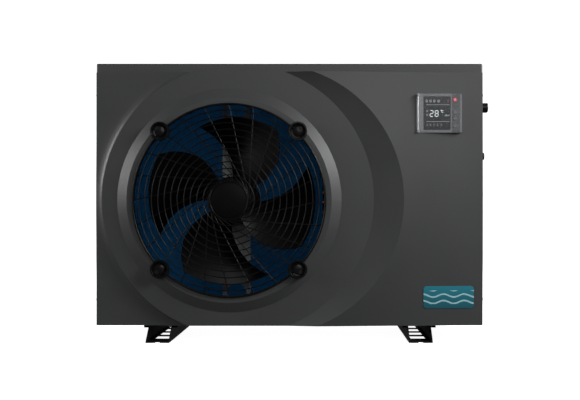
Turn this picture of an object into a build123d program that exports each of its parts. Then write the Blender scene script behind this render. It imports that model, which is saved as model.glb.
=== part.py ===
from build123d import *
import os
from math import acos, cos, degrees, pi, radians, sin, sqrt

# Pool heat pump with a side-blowing fan. Millimetres, +Z up, the front faces -Y.
# The origin is on the floor, at the centre of the rectangle of anchor holes in the feet.

# Cabinet
CABINET_WIDTH = 900.0
CABINET_HEIGHT = 610.0
CABINET_DEPTH = 370.0
PANEL_WALL = 3.0          # moulded front panel
SHEET = 1.2               # painted sheet steel
LID_SHEET = 1.5
LID_LIP = 21.0
LID_EDGE = 3.0
PANEL_RETURN = 18.0
PAN_SHEET = 1.5
PAN_LIP = 22.0
BEADS = 3
BEAD_WIDTH = 18.0
ASSEMBLY_GAP = 0.3        # between casing pieces that slide past each other
LID_FIELD_BORDER = 60.0
LID_FIELD_DEPTH = 2.0
LID_CORNER = 4.0
VENT_SLOT = 5.0
VENT_PITCH = 11.0
SIDE_VENTS = 8
REAR_VENTS = 6

# Feet
FOOT_HEIGHT = 38.0
FOOT_SHEET = 2.0
FOOT_WIDTH = 55.0
FOOT_FLANGE = 12.0
FOOT_LENGTH = 420.0
FOOT_TOP_LENGTH = 320.0
FOOT_INSET = 146.0        # cabinet side to foot centre
FOOT_BAR = 20.0
FOOT_BAR_PITCH = 76.0
FOOT_WINDOWS = 4
FOOT_TAB = 8.0            # turned-down end of a flange
FOOT_WINDOW_WIDTH = 36.0
FOOT_NOTCH = 11.5
ANCHOR_HOLE = 11.0
FOOT_BOLT_SPREAD = 240.0
BOLT = 8.0
BOLT_HEAD = 13.0
BOLT_HEAD_HEIGHT = 5.3
BOLT_STEM = 10.0
BOLT_CLEARANCE = 0.4      # radial, bolt in its hole

# Fan and its opening
FAN_FROM_LEFT = 311.0
FAN_ABOVE_BASE = 291.0
OPENING_RADIUS = 225.0
TIP_GAP = 26.0
FAN_DEPTH = 95.0
FAN_ROOT_DEPTH = 55.0
FAN_SETBACK = 7.0         # fan face behind the panel's base plane
HUB_RADIUS = 45.0
HUB_DEPTH = 60.0
HUB_WALL = 4.0
BLADES = 4
BLADE_WALL = 2.6
BLADE_CAMBER = 9.0
BLADE_ROWS = 8
BLADE_ROOT_DEPTH = 3.0     # how far a blade reaches into the hub
FRONT_EDGE_ROOT = 118.0   # degrees round the fan, seen from the front
FRONT_EDGE_SWEEP = 29.0
BACK_EDGE_ROOT = 175.0
BACK_EDGE_SWEEP = 30.0
FRONT_EDGE_CURVE = 2.0     # power of the radius that an edge sweeps with
BACK_EDGE_CURVE = 1.3
ORIFICE_WALL = 3.0
ORIFICE_DEPTH = 34.0

# Relief pressed into the front panel, as levels in front of its base plane
DISC_RADIUS = 315.0
DISC_SHIFT = 20.0         # disc centre from the fan's centre
DISC_LEVEL = 12.0
DISC_FLARE = 52.0
RIDGE_RADIUS = 313.0
RIDGE_SHIFT = 91.0
RIDGE_LEVEL = 24.0
RIDGE_SLOPE = 300.0
RELIEF_RISE = 2.0         # relief centre above the fan's centre
COLLAR_FOOT = 35.0
COLLAR_TOP = 12.0
COLLAR_LEVEL = 22.0

# Fan guard
GUARD_WIRE = 2.6
GUARD_RIM = 6.0
GUARD_RINGS = 13
GUARD_PITCH = 15.0
GUARD_SPOKES = 24
GUARD_HUB_RING = 46.0
GUARD_DISC = 41.0
GUARD_THICKNESS = 5.0
LUG_RADIUS = 22.0
LUG_RIM = 4.0
LUG_HEIGHT = 12.0
LUG_FLOOR = 4.0
LUG_SPREAD = 159.0
GUARD_SCREW_SPREAD = 165.0
GUARD_SCREW_HEAD = 4.5

# Fan motor
MOTOR_RADIUS = 60.0
MOTOR_LENGTH = 96.0
MOTOR_WALL = 6.0
MOTOR_BACK = 0.0          # y of the motor's rear face, on its mast
SHAFT_RADIUS = 6.0
BEARING_RADIUS = 17.5
BEARING_WIDTH = 11.0
RUNNING_CLEARANCE = 0.03  # radial, shaft in bearing or pin in knuckle
ROTOR_RADIUS = 30.0
ROTOR_LENGTH = 46.0
AIR_GAP = 0.6
SHAFT_HOLE_GAP = 2.0
NUT_RADIUS = 9.5
NUT_HEIGHT = 6.0
MAST_WIDTH = 70.0
MAST_FLANGE = 24.0
MAST_SHEET = 2.0
MOTOR_BOLT_CIRCLE = 38.0
MAST_HOLE = 25.0
MAST_HOLE_PITCH = 77.0

# Evaporator
COIL_DEPTH = 38.0
COIL_CLEARANCE = 2.5
COIL_PLATE = 1.5
TUBE_PITCH = 25.4
TUBE_RADIUS = 4.8
GAS_ROW = 5                # return bends below each pipe's tube row
LIQUID_ROW = 4
COIL_LIFT = 3.0
COIL_TOP_GAP = 7.0
BEND_SPACE = 22.0         # coil end to the partition
BEND_START = 33.0
SCREEN_HOLE = 30.0
SCREEN_BAR = 5.0
SCREEN_BORDER = 34.0

# Compressor compartment
PARTITION_GAP = 16.0
COMPRESSOR_RADIUS = 62.0
COMPRESSOR_HEIGHT = 262.0
COMPRESSOR_FROM_PARTITION = 99.0
COMPRESSOR_Y = 40.0
COMPRESSOR_DOME = 24.0
COMPRESSOR_PLATE = 3.0
COMPRESSOR_FOOT_X = 61.0
COMPRESSOR_FOOT_Y = 56.0
GROMMET_RADIUS = 13.0
GROMMET_HEIGHT = 14.0
TERMINAL_COVER = (26.0, 40.0, 60.0)
TERMINAL_COVER_EDGE = 4.0
ACCUMULATOR_RADIUS = 28.0
ACCUMULATOR_HEIGHT = 190.0
ACCUMULATOR_GAP = 25.0
ACCUMULATOR_LIFT = 50.0
STRAP_WIDTH = 12.0
STRAP_HEIGHT = 20.0
VALVE_RADIUS = 15.0
VALVE_LENGTH = 92.0
VALVE_PORT = 25.0
VALVE_STEM = 18.0
VALVE_EDGE = 3.0
STUB_WALL = 1.5            # valve stub outside the pipe's radius
VALVE_ABOVE_COMPRESSOR = 110.0
PIPE_RADIUS = 6.3
LIQUID_RADIUS = 4.8
PIPE_BEND = 14.0
PIPE_RISE = 30.0           # compressor top to the first turn of its pipes
HOLE_GAP = 4.0
DRIER_RADIUS = 16.0
DRIER_LENGTH = 80.0
DRIER_SHOULDER = 9.6
EXPANSION_RADIUS = 12.0
EXPANSION_HEIGHT = 40.0
EXPANSION_HEAD = 18.0
EXPANSION_HEAD_HEIGHT = 36.0
EXPANSION_EDGE = 5.0

# Water side
EXCHANGER_RADIUS = 76.0
EXCHANGER_WALL = 5.0
EXCHANGER_HEIGHT = 330.0
EXCHANGER_FROM_RIGHT = 92.0
EXCHANGER_Y = 70.0
EXCHANGER_CAP = 12.0
CAP_OVERHANG = 4.0
EXCHANGER_BANDS = 4
BAND_DEPTH = 2.0
BAND_HEIGHT = 6.0
TITANIUM_RADIUS = 52.0
TITANIUM_TUBE = 6.3
TITANIUM_TURNS = 8
TITANIUM_HEADER = 8.2
WATER_BORE = 25.1
WATER_PIPE_WALL = 4.0
WATER_PIPE_BORE = 22.0
WATER_LOW = 122.0         # inlet above the base
WATER_SPACING = 150.0
UNION_RADIUS = 32.0
UNION_SOCKET = 30.0
UNION_STEP = 12.0
UNION_COLLAR = 5.0
UNION_NUT_RADIUS = 41.0
UNION_NUT_WIDTH = 24.0
UNION_NUT_RIBS = 12
UNION_RIB = 3.0
SWITCH_STEM = 8.0
SWITCH_NECK = 14.0
SWITCH_RADIUS = 13.0
SWITCH_HEIGHT = 32.0
SWITCH_EDGE = 4.0
THREAD_GAP = 0.4
SPOUT_RADIUS = 9.0
SPOUT_BORE = 6.5
SPOUT_LENGTH = 22.0
SPOUT_FLANGE = 15.0
SPOUT_FLANGE_WALL = 1.5
SPOUT_NECK = 8.0
SPOUT_Y = 100.0

# Electrical parts
BOX_SIZE = (300.0, 125.0, 180.0)
BOX_FROM_RIGHT = 20.0
BOX_BELOW_LID = 22.0
BOX_SHEET = 1.2
BOX_FRONT_SETBACK = 25.0
BOX_TAB = 12.0
BOX_TAB_INSET = 30.0
BOARD_SIZE = (200.0, 130.0)
BOARD_THICKNESS = 1.6
BOARD_CORNER = (14.0, 24.0)  # board's lower left corner inside the box
SPACER_RADIUS = 3.0
SPACER_LENGTH = 8.0
SPACER_INSET = 6.0
TRANSFORMER_SIZE = (42.0, 34.0, 35.0)
TRANSFORMER_CORNER = (15.0, 15.0)
RELAYS = 5
RELAY_SIZE = (18.0, 16.0, 28.0)
RELAY_PITCH = 24.0
RELAY_CORNER = (72.0, 14.0)
CAPACITOR_RADIUS = 7.0
CAPACITOR_LENGTH = 26.0
CAPACITOR_HEIGHT = 70.0
CHIP_SIZE = (28.0, 4.0, 28.0)
CHIP_CORNER = (20.0, 76.0)
TERMINAL_WAYS = 6
TERMINAL_PITCH = 11.0
TERMINAL_SIZE = (38.0, 26.0)
TERMINAL_LIFT = 40.0
TERMINAL_POCKET = (14.0, 12.0, 8.0)
GLAND_Y = -62.0
GLAND_BORES = (7.0, 5.0)
GLAND_RADII = (14.0, 10.5)
GLAND_REACH = (35.3, 26.3)
GLAND_STEMS = (10.1, 7.6)
GLAND_COLLARS = (12.4, 9.2)
GLAND_DOMES = (12.3, 9.2)
GLAND_EDGES = (3.5, 2.6)
GLAND_LOCK_NUTS = (13.4, 10.1)
GLAND_LOCK_WALL = 5.0
GLAND_INSIDE = 8.0
GLAND_BELOW_TOP = (90.0, 209.0)

# Controller
CONTROLLER_WIDTH = 104.8
CONTROLLER_HEIGHT = 90.0
CONTROLLER_FROM_RIGHT = 102.8
CONTROLLER_BELOW_TOP = 117.0
CONTROLLER_LEVEL = 14.0
CONTROLLER_DEPTH = 30.0
CONTROLLER_WALL = 2.5
CONTROLLER_GAP = 0.25
SCREEN_WIDTH = 63.0
SCREEN_HEIGHT = 78.0
SCREEN_SHIFT = -5.0
GLASS_RECESS = 0.5
CARRIER_BORDER = 2.0
CARRIER_DEPTH = 9.0
KEY_SHIFT = 36.5
KEY_HEIGHTS = {"power": 31.2, "up": 1.8, "down": -13.0, "set": -29.2}
KEY_RADIUS = 4.8
KEY_FLANGE = 6.2
KEY_PROUD = 0.8
KEY_EDGE = 0.55
KEY_GAP = 0.3
KEY_FLANGE_WALL = 1.2
COVER_WALL = 1.8
COVER_GAP = 0.4
COVER_RIM_GAP = 1.2        # between the cover's rim and the bezel
COVER_STANDOFF = 3.4
HINGE_RADIUS = 3.0
HINGE_PIN = 1.2
HINGE_FROM_EDGE = 3.2
HINGE_EAR = 6.0

# Name plate
BADGE_SIZE = (118.0, 52.0)
BADGE_FROM_RIGHT = 80.0
BADGE_ABOVE_BASE = 66.0
BADGE_WALL = 1.0
BADGE_CORNER = 8.0

# Casing screws
SCREW_RADIUS = 2.0
SCREW_HEAD = 4.2
SCREW_HEAD_HEIGHT = 1.8
SCREW_STEM = 5.0
SIDE_SCREW_SHARES = (0.1, 0.5, 0.88)
LIP_SCREW_SHARE = 0.6
REAR_SCREW_SHARES = (-0.9, -0.3, 0.3, 0.9)

# Places worked out from the sizes above
LEFT = -CABINET_WIDTH / 2
RIGHT = CABINET_WIDTH / 2
FRONT = -CABINET_DEPTH / 2
BACK = CABINET_DEPTH / 2
BASE = FOOT_HEIGHT
TOP = BASE + CABINET_HEIGHT
LIP = TOP - LID_LIP
PAN_TOP = BASE + PAN_SHEET
ROOF = TOP - LID_SHEET
SIDE_FACE = RIGHT - PANEL_WALL - ASSEMBLY_GAP
REAR_FACE = BACK - LID_SHEET - ASSEMBLY_GAP
REAR_INNER = REAR_FACE - SHEET
FAN_X = LEFT + FAN_FROM_LEFT
FAN_Z = BASE + FAN_ABOVE_BASE
FAN = (FAN_X, FAN_Z)
FAN_FRONT = FRONT + FAN_SETBACK
TIP_RADIUS = OPENING_RADIUS - TIP_GAP
ORIFICE_RADIUS = OPENING_RADIUS + ORIFICE_WALL
DISC = (FAN_X + DISC_SHIFT, FAN_Z + RELIEF_RISE)
RIDGE = (FAN_X + RIDGE_SHIFT, FAN_Z + RELIEF_RISE)
COLLAR_FACE = FRONT - COLLAR_LEVEL
PARTITION_X = FAN_X + ORIFICE_RADIUS + PARTITION_GAP
COIL_RIGHT = PARTITION_X - BEND_SPACE
COIL_LEFT = -SIDE_FACE + SHEET + COIL_CLEARANCE + PAN_SHEET
COIL_BACK = REAR_INNER - COIL_CLEARANCE - PAN_SHEET
COIL_BOTTOM = PAN_TOP + COIL_LIFT
COIL_TOP = ROOF - COIL_TOP_GAP
COIL_FRONT = FRONT + 2 * PANEL_RETURN
COMPRESSOR_X = PARTITION_X + COMPRESSOR_FROM_PARTITION
COMPRESSOR = (COMPRESSOR_X, COMPRESSOR_Y)
PLATE_Z = PAN_TOP + GROMMET_HEIGHT
COMPRESSOR_TOP = PLATE_Z + COMPRESSOR_PLATE + COMPRESSOR_HEIGHT
ACCUMULATOR_Y = COMPRESSOR_Y - COMPRESSOR_RADIUS - ACCUMULATOR_GAP - ACCUMULATOR_RADIUS
ACCUMULATOR = (COMPRESSOR_X, ACCUMULATOR_Y)
ACCUMULATOR_LOW = PLATE_Z + ACCUMULATOR_LIFT
VALVE_Z = COMPRESSOR_TOP + VALVE_ABOVE_COMPRESSOR
EXCHANGER = (RIGHT - EXCHANGER_FROM_RIGHT, EXCHANGER_Y)
EXCHANGER_LOW = PAN_TOP + GROMMET_HEIGHT
EXCHANGER_HIGH = EXCHANGER_LOW + EXCHANGER_HEIGHT
WATER_HEIGHTS = (BASE + WATER_LOW, BASE + WATER_LOW + WATER_SPACING)
UNION_START = BACK + ASSEMBLY_GAP
FOOT_X = RIGHT - FOOT_INSET
ANCHOR_Y = 2 * FOOT_BAR_PITCH
CONTROLLER_X = RIGHT - CONTROLLER_FROM_RIGHT
CONTROLLER_Z = TOP - CONTROLLER_BELOW_TOP
CONTROLLER_FACE = FRONT - CONTROLLER_LEVEL
HINGE_X = CONTROLLER_X - CONTROLLER_WIDTH / 2 + HINGE_FROM_EDGE
HINGE_Y = CONTROLLER_FACE - COVER_STANDOFF
GLAND_HEIGHTS = tuple(TOP - drop for drop in GLAND_BELOW_TOP)
BOX_RIGHT = SIDE_FACE - SHEET - BOX_FROM_RIGHT
BOX_TOP = ROOF - BOX_BELOW_LID
BOX_FRONT = FRONT + BOX_FRONT_SETBACK

TURN = {"X": Rotation(0, 90, 0), "Y": Rotation(-90, 0, 0), "Z": Rotation(0, 0, 0)}
AXES = {"X": Axis.X, "Y": Axis.Y, "Z": Axis.Z}


# Simple solids

def block(x, y, z):
    """Box between the low and high limit given for each axis."""
    size = [high - low for low, high in (x, y, z)]
    middle = [(low + high) / 2 for low, high in (x, y, z)]
    return Pos(*middle) * Box(*size)


def place(axis, along, across):
    """Point at a distance along one axis, with its other two coordinates in X, Y, Z order."""
    first, second = across
    points = {"X": (along, first, second), "Y": (first, along, second), "Z": (first, second, along)}
    return Pos(*points[axis])


def rod(axis, radius, span, across):
    """Cylinder between two distances along an axis."""
    low, high = span
    return place(axis, (low + high) / 2, across) * TURN[axis] * Cylinder(radius, high - low)


def pipe(axis, outer, inner, span, across):
    """Straight tube between two distances along an axis."""
    return rod(axis, outer, span, across) - rod(axis, inner, span, across)


def hexagon(axis, radius, span, across):
    """Six-sided bar between two distances along an axis."""
    low, high = span
    bar = extrude(RegularPolygon(radius, 6), high - low)
    return place(axis, low, across) * TURN[axis] * bar


def frustum(low_radius, high_radius, low_level, high_level, across):
    """Cone slice that narrows towards the front, between two levels of the panel's relief."""
    middle = FRONT - (low_level + high_level) / 2
    cone = Cone(low_radius, high_radius, high_level - low_level)
    return place("Y", middle, across) * Rotation(90, 0, 0) * cone


def facing(y, across):
    """Plane seen from the front, with its own X to the right and its own Y up."""
    return Plane(origin=(across[0], y, across[1]), x_dir=(1, 0, 0), z_dir=(0, -1, 0))


def bent_pipe(points, radius, bend=PIPE_BEND):
    """Round tube along straight runs joined by arcs."""
    line = FilletPolyline(*points, radius=bend)
    section = Plane(origin=line @ 0, z_dir=line % 0) * Circle(radius)
    return sweep(section, path=line)


def gathered(solids):
    """Separate solids kept as one group."""
    return Compound(children=list(solids))


# Casing screws: each is a head against a face and a stem that goes in

def screw_places():
    """Head place and outward axis sign of every casing screw."""
    sides = []
    for sign in (-1, 1):
        for height in SIDE_SCREW_SHARES:
            sides.append(("X", sign, RIGHT, (FRONT + PANEL_RETURN / 2, BASE + height * CABINET_HEIGHT)))
        for y in (FRONT * LIP_SCREW_SHARE, BACK * LIP_SCREW_SHARE):
            sides.append(("X", sign, RIGHT, (y, LIP + LID_LIP / 2)))
    rear = []
    for share in REAR_SCREW_SHARES:
        rear.append(("Y", 1, BACK, (share * RIGHT, LIP + LID_LIP / 2)))
    for x in (PARTITION_X + SCREEN_BORDER, SIDE_FACE - SCREEN_BORDER / 2):
        for z in (BASE + PAN_LIP / 2, LIP - LID_LIP):
            rear.append(("Y", 1, REAR_FACE, (x, z)))
    for x in (SCREEN_BORDER / 2 - SIDE_FACE, COIL_RIGHT - SCREEN_BORDER):
        for z in (BASE + PAN_LIP / 2, LIP - SCREEN_BORDER / 2):
            rear.append(("Y", 1, REAR_FACE, (x, z)))
    return sides + rear


def along(sign, face, inner, outer):
    """Span on an axis from inside a face to outside it."""
    return tuple(sorted((sign * (face + inner), sign * (face + outer))))


def screw_stems():
    """Stems of the casing screws, which also bore their holes."""
    return [rod(axis, SCREW_RADIUS, along(sign, face, -SCREW_STEM, 0), across)
            for axis, sign, face, across in screw_places()]


def casing_screws():
    screws = []
    for axis, sign, face, across in screw_places():
        head = rod(axis, SCREW_HEAD, along(sign, face, 0, SCREW_HEAD_HEIGHT), across)
        outer_rim = head.edges().group_by(AXES[axis])[-1 if sign > 0 else 0]
        head = chamfer(outer_rim, SCREW_HEAD_HEIGHT / 2)
        screws.append(head + rod(axis, SCREW_RADIUS, along(sign, face, -SCREW_STEM, 0), across))
    return gathered(screws)


def bored(piece, tools):
    """Piece with every tool that reaches it cut away."""
    box = piece.bounding_box()
    for tool in tools:
        reach = tool.bounding_box()
        low_clear = [reach.min.X < box.max.X, reach.min.Y < box.max.Y, reach.min.Z < box.max.Z]
        high_clear = [reach.max.X > box.min.X, reach.max.Y > box.min.Y, reach.max.Z > box.min.Z]
        if all(low_clear + high_clear):
            piece = piece - tool
    return piece


# Casing

def foot_bolt_places():
    """Bolts that join each foot's flanges to the base pan."""
    offset = FOOT_WIDTH / 2 + BOLT_HEAD / 2 + BOLT_CLEARANCE
    return [(foot + side * offset, end * FOOT_BOLT_SPREAD / 2)
            for foot in (-FOOT_X, FOOT_X) for side in (-1, 1) for end in (-1, 1)]


def foot(x):
    """Sheet steel channel on the floor, with flanges bolted under the base pan."""
    half = FOOT_WIDTH / 2
    length = (-FOOT_LENGTH / 2, FOOT_LENGTH / 2)
    sheet = FOOT_SHEET
    body = block((x - half, x + half), length, (0, sheet))
    for side in (-1, 1):
        wall = sorted((x + side * half, x + side * (half - sheet)))
        flange = sorted((x + side * (half - sheet), x + side * (half + FOOT_FLANGE)))
        body += block(wall, length, (0, FOOT_HEIGHT))
        body += block(flange, length, (FOOT_HEIGHT - sheet, FOOT_HEIGHT))
        for end in (-1, 1):
            tab = sorted((end * FOOT_TOP_LENGTH / 2, end * (FOOT_TOP_LENGTH / 2 - sheet)))
            body += block(flange, tab, (FOOT_HEIGHT - FOOT_TAB, FOOT_HEIGHT))
    slope = FOOT_TOP_LENGTH / 2
    end = FOOT_LENGTH / 2
    for side in (-1, 1):
        wedge = Polyline((side * end, sheet), (side * (end + sheet), sheet),
                         (side * (end + sheet), FOOT_HEIGHT + sheet), (side * slope, FOOT_HEIGHT + sheet),
                         (side * slope, FOOT_HEIGHT), close=True)
        cut = extrude(Plane.YZ.offset(x) * make_face(wedge), FOOT_WIDTH, both=True)
        body -= cut
        body -= block((x - FOOT_NOTCH / 2, x + FOOT_NOTCH / 2),
                      sorted((side * (end - FOOT_NOTCH), side * (end + sheet))), (-sheet, 2 * sheet))
        body -= rod("Z", ANCHOR_HOLE / 2, (-sheet, 2 * sheet), (x, side * ANCHOR_Y))
    window = FOOT_BAR_PITCH - FOOT_BAR
    for step in range(FOOT_WINDOWS):
        middle = (step - (FOOT_WINDOWS - 1) / 2) * FOOT_BAR_PITCH
        body -= block((x - FOOT_WINDOW_WIDTH / 2, x + FOOT_WINDOW_WIDTH / 2),
                      (middle - window / 2, middle + window / 2), (-sheet, 2 * sheet))
    holes = [rod("Z", BOLT / 2 + BOLT_CLEARANCE, (0, FOOT_HEIGHT + sheet), spot)
             for spot in foot_bolt_places() if abs(spot[0] - x) < FOOT_WIDTH]
    return bored(body, holes)


def mounting_bolts():
    """Hexagon bolts of the feet and of the compressor's grommets."""
    bolts = []
    face = FOOT_HEIGHT - FOOT_SHEET
    for spot in foot_bolt_places():
        head = hexagon("Z", BOLT_HEAD / 2, (face - BOLT_HEAD_HEIGHT, face), spot)
        bolts.append(head + rod("Z", BOLT / 2, (face, face + BOLT_STEM), spot))
    for spot in compressor_feet():
        face = PLATE_Z + COMPRESSOR_PLATE
        head = hexagon("Z", BOLT_HEAD / 2, (face, face + BOLT_HEAD_HEIGHT), spot)
        bolts.append(head + rod("Z", BOLT / 2, (BASE, face), spot))
    return gathered(bolts)


def base_pan():
    """Drip tray that carries everything, with beads pressed under the fan to stiffen it."""
    x = SIDE_FACE - SHEET - ASSEMBLY_GAP
    front = FRONT + PANEL_RETURN + ASSEMBLY_GAP
    back = REAR_INNER - ASSEMBLY_GAP
    wall = PAN_SHEET
    pan = block((-x, x), (front, back), (BASE, BASE + PAN_LIP))
    pan -= block((wall - x, x - wall), (front + wall, back - wall), (PAN_TOP, TOP))
    for step in range(1, BEADS + 1):
        y = front + step * (MOTOR_BACK - front) / (BEADS + 1)
        bead = (y - BEAD_WIDTH / 2, y + BEAD_WIDTH / 2)
        pan += block((FOOT_WIDTH - FOOT_X, PARTITION_X - FOOT_WIDTH), bead, (PAN_TOP, PAN_TOP + COIL_LIFT))
    holes = [rod("Z", BOLT / 2 + BOLT_CLEARANCE, (0, PAN_TOP + wall), spot) for spot in foot_bolt_places()]
    holes += [rod("Z", BOLT / 2, (0, PAN_TOP + wall), spot) for spot in compressor_feet()]
    holes.append(rod("Z", SPOUT_NECK, (0, PAN_TOP + wall), (FAN_X + MAST_WIDTH, SPOUT_Y)))
    return bored(bored(pan, holes), screw_stems())


def relief():
    """Solid whose front is the panel's pressed shape: a dished disc, a ridge and the fan's collar."""
    solid = block((LEFT, RIGHT), (FRONT, FRONT + PANEL_RETURN), (BASE, LIP))
    rim = Polyline((0, 0), (DISC_RADIUS + DISC_FLARE, 0))
    sweep_up = EllipticalCenterArc((DISC_RADIUS + DISC_FLARE, -DISC_LEVEL), DISC_FLARE, DISC_LEVEL,
                                   start_angle=90, arc_size=90)
    cap = Polyline((DISC_RADIUS, -DISC_LEVEL), (0, -DISC_LEVEL), (0, 0))
    dish = revolve(make_face([rim, sweep_up, cap]), Axis.Y)
    solid += Pos(DISC[0], FRONT, DISC[1]) * dish
    foot_of_slope = RIDGE_RADIUS + RIDGE_SLOPE
    ground = Polyline((0, 0), (foot_of_slope, 0))
    fade = Bezier((foot_of_slope, 0), (RIDGE_RADIUS + RIDGE_SLOPE / 2, 0), (RIDGE_RADIUS, -RIDGE_LEVEL))
    crest = Polyline((RIDGE_RADIUS, -RIDGE_LEVEL), (0, -RIDGE_LEVEL), (0, 0))
    slope = Pos(RIDGE[0], FRONT, RIDGE[1]) * revolve(make_face([ground, fade, crest]), Axis.Y)
    reach = CABINET_WIDTH + CABINET_HEIGHT
    slope &= block((RIDGE[0], RIDGE[0] + reach), (FRONT - reach, FRONT + reach), (-reach, reach))
    solid += slope
    hollow = loft([facing(FRONT - DISC_LEVEL, DISC) * Circle(DISC_RADIUS),
                   facing(FRONT - RIDGE_LEVEL, RIDGE) * Circle(RIDGE_RADIUS)], ruled=True)
    solid -= hollow
    solid += frustum(OPENING_RADIUS + COLLAR_FOOT, OPENING_RADIUS + COLLAR_TOP, DISC_LEVEL, COLLAR_LEVEL, FAN)
    solid &= block((LEFT, RIGHT), (FRONT - reach, FRONT + reach), (BASE, LIP))
    return solid


def controller_hole():
    """Cut-out that the controller's frame passes through."""
    width = CONTROLLER_WIDTH / 2 + CONTROLLER_GAP
    height = CONTROLLER_HEIGHT / 2 + CONTROLLER_GAP
    return block((CONTROLLER_X - width, CONTROLLER_X + width), (FRONT - COLLAR_LEVEL, FRONT + PANEL_RETURN),
                 (CONTROLLER_Z - height, CONTROLLER_Z + height))


def front_panel(shape):
    """Moulded front, a shell of even wall with returns on all four sides."""
    wall = PANEL_WALL
    inside = Pos(0, wall, 0) * shape
    inside &= block((LEFT + wall, RIGHT - wall), (FRONT - COLLAR_LEVEL, BACK), (BASE + wall, LIP - wall))
    panel = shape - inside
    panel -= rod("Y", OPENING_RADIUS, (COLLAR_FACE - wall, FRONT + PANEL_RETURN), FAN)
    panel -= controller_hole()
    holes = [rod("Y", SCREW_RADIUS, (COLLAR_FACE - wall, FRONT), spot) for spot in guard_screw_places()]
    return bored(bored(panel, holes), screw_stems())


def name_plate(shape):
    """Plain plate that follows the panel's slope."""
    skin = Pos(0, -BADGE_WALL, 0) * shape - shape
    spot = (RIGHT - BADGE_FROM_RIGHT, BASE + BADGE_ABOVE_BASE)
    outline = facing(FRONT + PANEL_RETURN, spot) * RectangleRounded(*BADGE_SIZE, BADGE_CORNER)
    return extrude(outline, PANEL_RETURN + COLLAR_LEVEL) & skin


def lid():
    """Pressed steel top with a lip all round and a sunken field."""
    wall = LID_SHEET
    body = block((LEFT, RIGHT), (FRONT, BACK), (LIP, TOP))
    body = fillet(body.edges().filter_by(Axis.Z), LID_CORNER)
    body = fillet(body.faces().sort_by(Axis.Z)[-1].edges(), LID_EDGE)
    border = LID_FIELD_BORDER
    field = ((LEFT + border, RIGHT - border), (FRONT + border, BACK - border))
    body -= block(*field, (TOP - LID_FIELD_DEPTH, TOP))
    room = block((LEFT + wall, RIGHT - wall), (FRONT + wall, BACK - wall), (LIP - wall, ROOF))
    room = fillet(room.edges().filter_by(Axis.Z), LID_CORNER - wall)
    border -= wall
    field = ((LEFT + border, RIGHT - border), (FRONT + border, BACK - border))
    room -= block(*field, (ROOF - LID_FIELD_DEPTH, TOP))
    return bored(body - room, screw_stems())


def side_sheet(side):
    """Plain side sheet with a flange behind the rear panels."""
    outer = sorted((side * SIDE_FACE, side * (SIDE_FACE - SHEET)))
    flange = sorted((side * SIDE_FACE, side * (SIDE_FACE - PAN_LIP)))
    span_y = (FRONT + PANEL_WALL + ASSEMBLY_GAP, REAR_INNER)
    top = ROOF - LID_FIELD_DEPTH - ASSEMBLY_GAP
    sheet = block(outer, span_y, (BASE, top))
    sheet += block(flange, (REAR_INNER - SHEET, REAR_INNER), (PAN_TOP + PAN_LIP, top))
    sheet -= block((-RIGHT, RIGHT), (FRONT, FRONT + PANEL_RETURN + ASSEMBLY_GAP), (0, BASE + PANEL_WALL))
    sheet -= block((-RIGHT, RIGHT), (FRONT, FRONT + PANEL_RETURN + ASSEMBLY_GAP), (LIP - PANEL_WALL, TOP))
    return bored(sheet, screw_stems())


def screen_holes(width, height):
    """Grid of square openings that fills a field."""
    pitch = SCREEN_HOLE + SCREEN_BAR
    across = int(width // pitch)
    up = int(height // pitch)
    return Sketch() + GridLocations(pitch, pitch, across, up) * Rectangle(SCREEN_HOLE, SCREEN_HOLE)


def left_side_grille():
    """Left sheet, open in a grid over the evaporator's short leg."""
    low, high = BASE + PAN_LIP + SCREEN_BORDER / 2, LIP - SCREEN_BORDER / 2
    front, back = COIL_FRONT, REAR_INNER - SCREEN_BORDER
    field = Plane(origin=(-SIDE_FACE, (front + back) / 2, (low + high) / 2), x_dir=(0, 1, 0), z_dir=(1, 0, 0))
    holes = extrude(field * screen_holes(back - front, high - low), SHEET * 2, both=True)
    return side_sheet(-1) - holes


def right_side_panel():
    """Right sheet with vents low down and holes for the cable glands."""
    sheet = side_sheet(1)
    slot = (EXCHANGER_Y - EXCHANGER_RADIUS, EXCHANGER_Y + EXCHANGER_RADIUS)
    for step in range(SIDE_VENTS):
        z = BASE + PAN_LIP + SCREEN_BORDER + step * VENT_PITCH
        sheet -= block((0, RIGHT), slot, (z, z + VENT_SLOT))
    for height, stem in zip(GLAND_HEIGHTS, GLAND_STEMS):
        sheet -= rod("X", stem, (0, RIGHT), (GLAND_Y, height))
    return sheet


def rear_limits():
    """Height span of the sheets at the back."""
    return (BASE, ROOF - LID_FIELD_DEPTH - ASSEMBLY_GAP)


def rear_coil_guard():
    """Rear screen over the evaporator's long leg."""
    low, high = rear_limits()
    right = PARTITION_X
    sheet = block((-SIDE_FACE, right), (REAR_INNER, REAR_FACE), (low, high))
    x = (COIL_LEFT + SCREEN_BORDER / 2, COIL_RIGHT)
    z = (BASE + PAN_LIP + SCREEN_BORDER / 2, LIP - SCREEN_BORDER)
    field = facing(REAR_FACE, (sum(x) / 2, sum(z) / 2))
    sheet -= extrude(field * screen_holes(x[1] - x[0], z[1] - z[0]), SHEET * 2, both=True)
    return bored(sheet, screw_stems())


def rear_panel():
    """Service panel behind the compressor, with the water connections through it."""
    low, high = rear_limits()
    sheet = block((PARTITION_X + ASSEMBLY_GAP, SIDE_FACE), (REAR_INNER, REAR_FACE), (low, high))
    for height in WATER_HEIGHTS:
        sheet -= rod("Y", UNION_RADIUS - ASSEMBLY_GAP, (0, BACK), (EXCHANGER[0], height))
    slot = (EXCHANGER[0] - EXCHANGER_RADIUS, EXCHANGER[0] + EXCHANGER_RADIUS)
    for step in range(REAR_VENTS):
        z = LIP - SCREEN_BORDER * 2 - step * VENT_PITCH
        sheet -= block(slot, (0, BACK), (z, z + VENT_SLOT))
    return bored(sheet, screw_stems())


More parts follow.
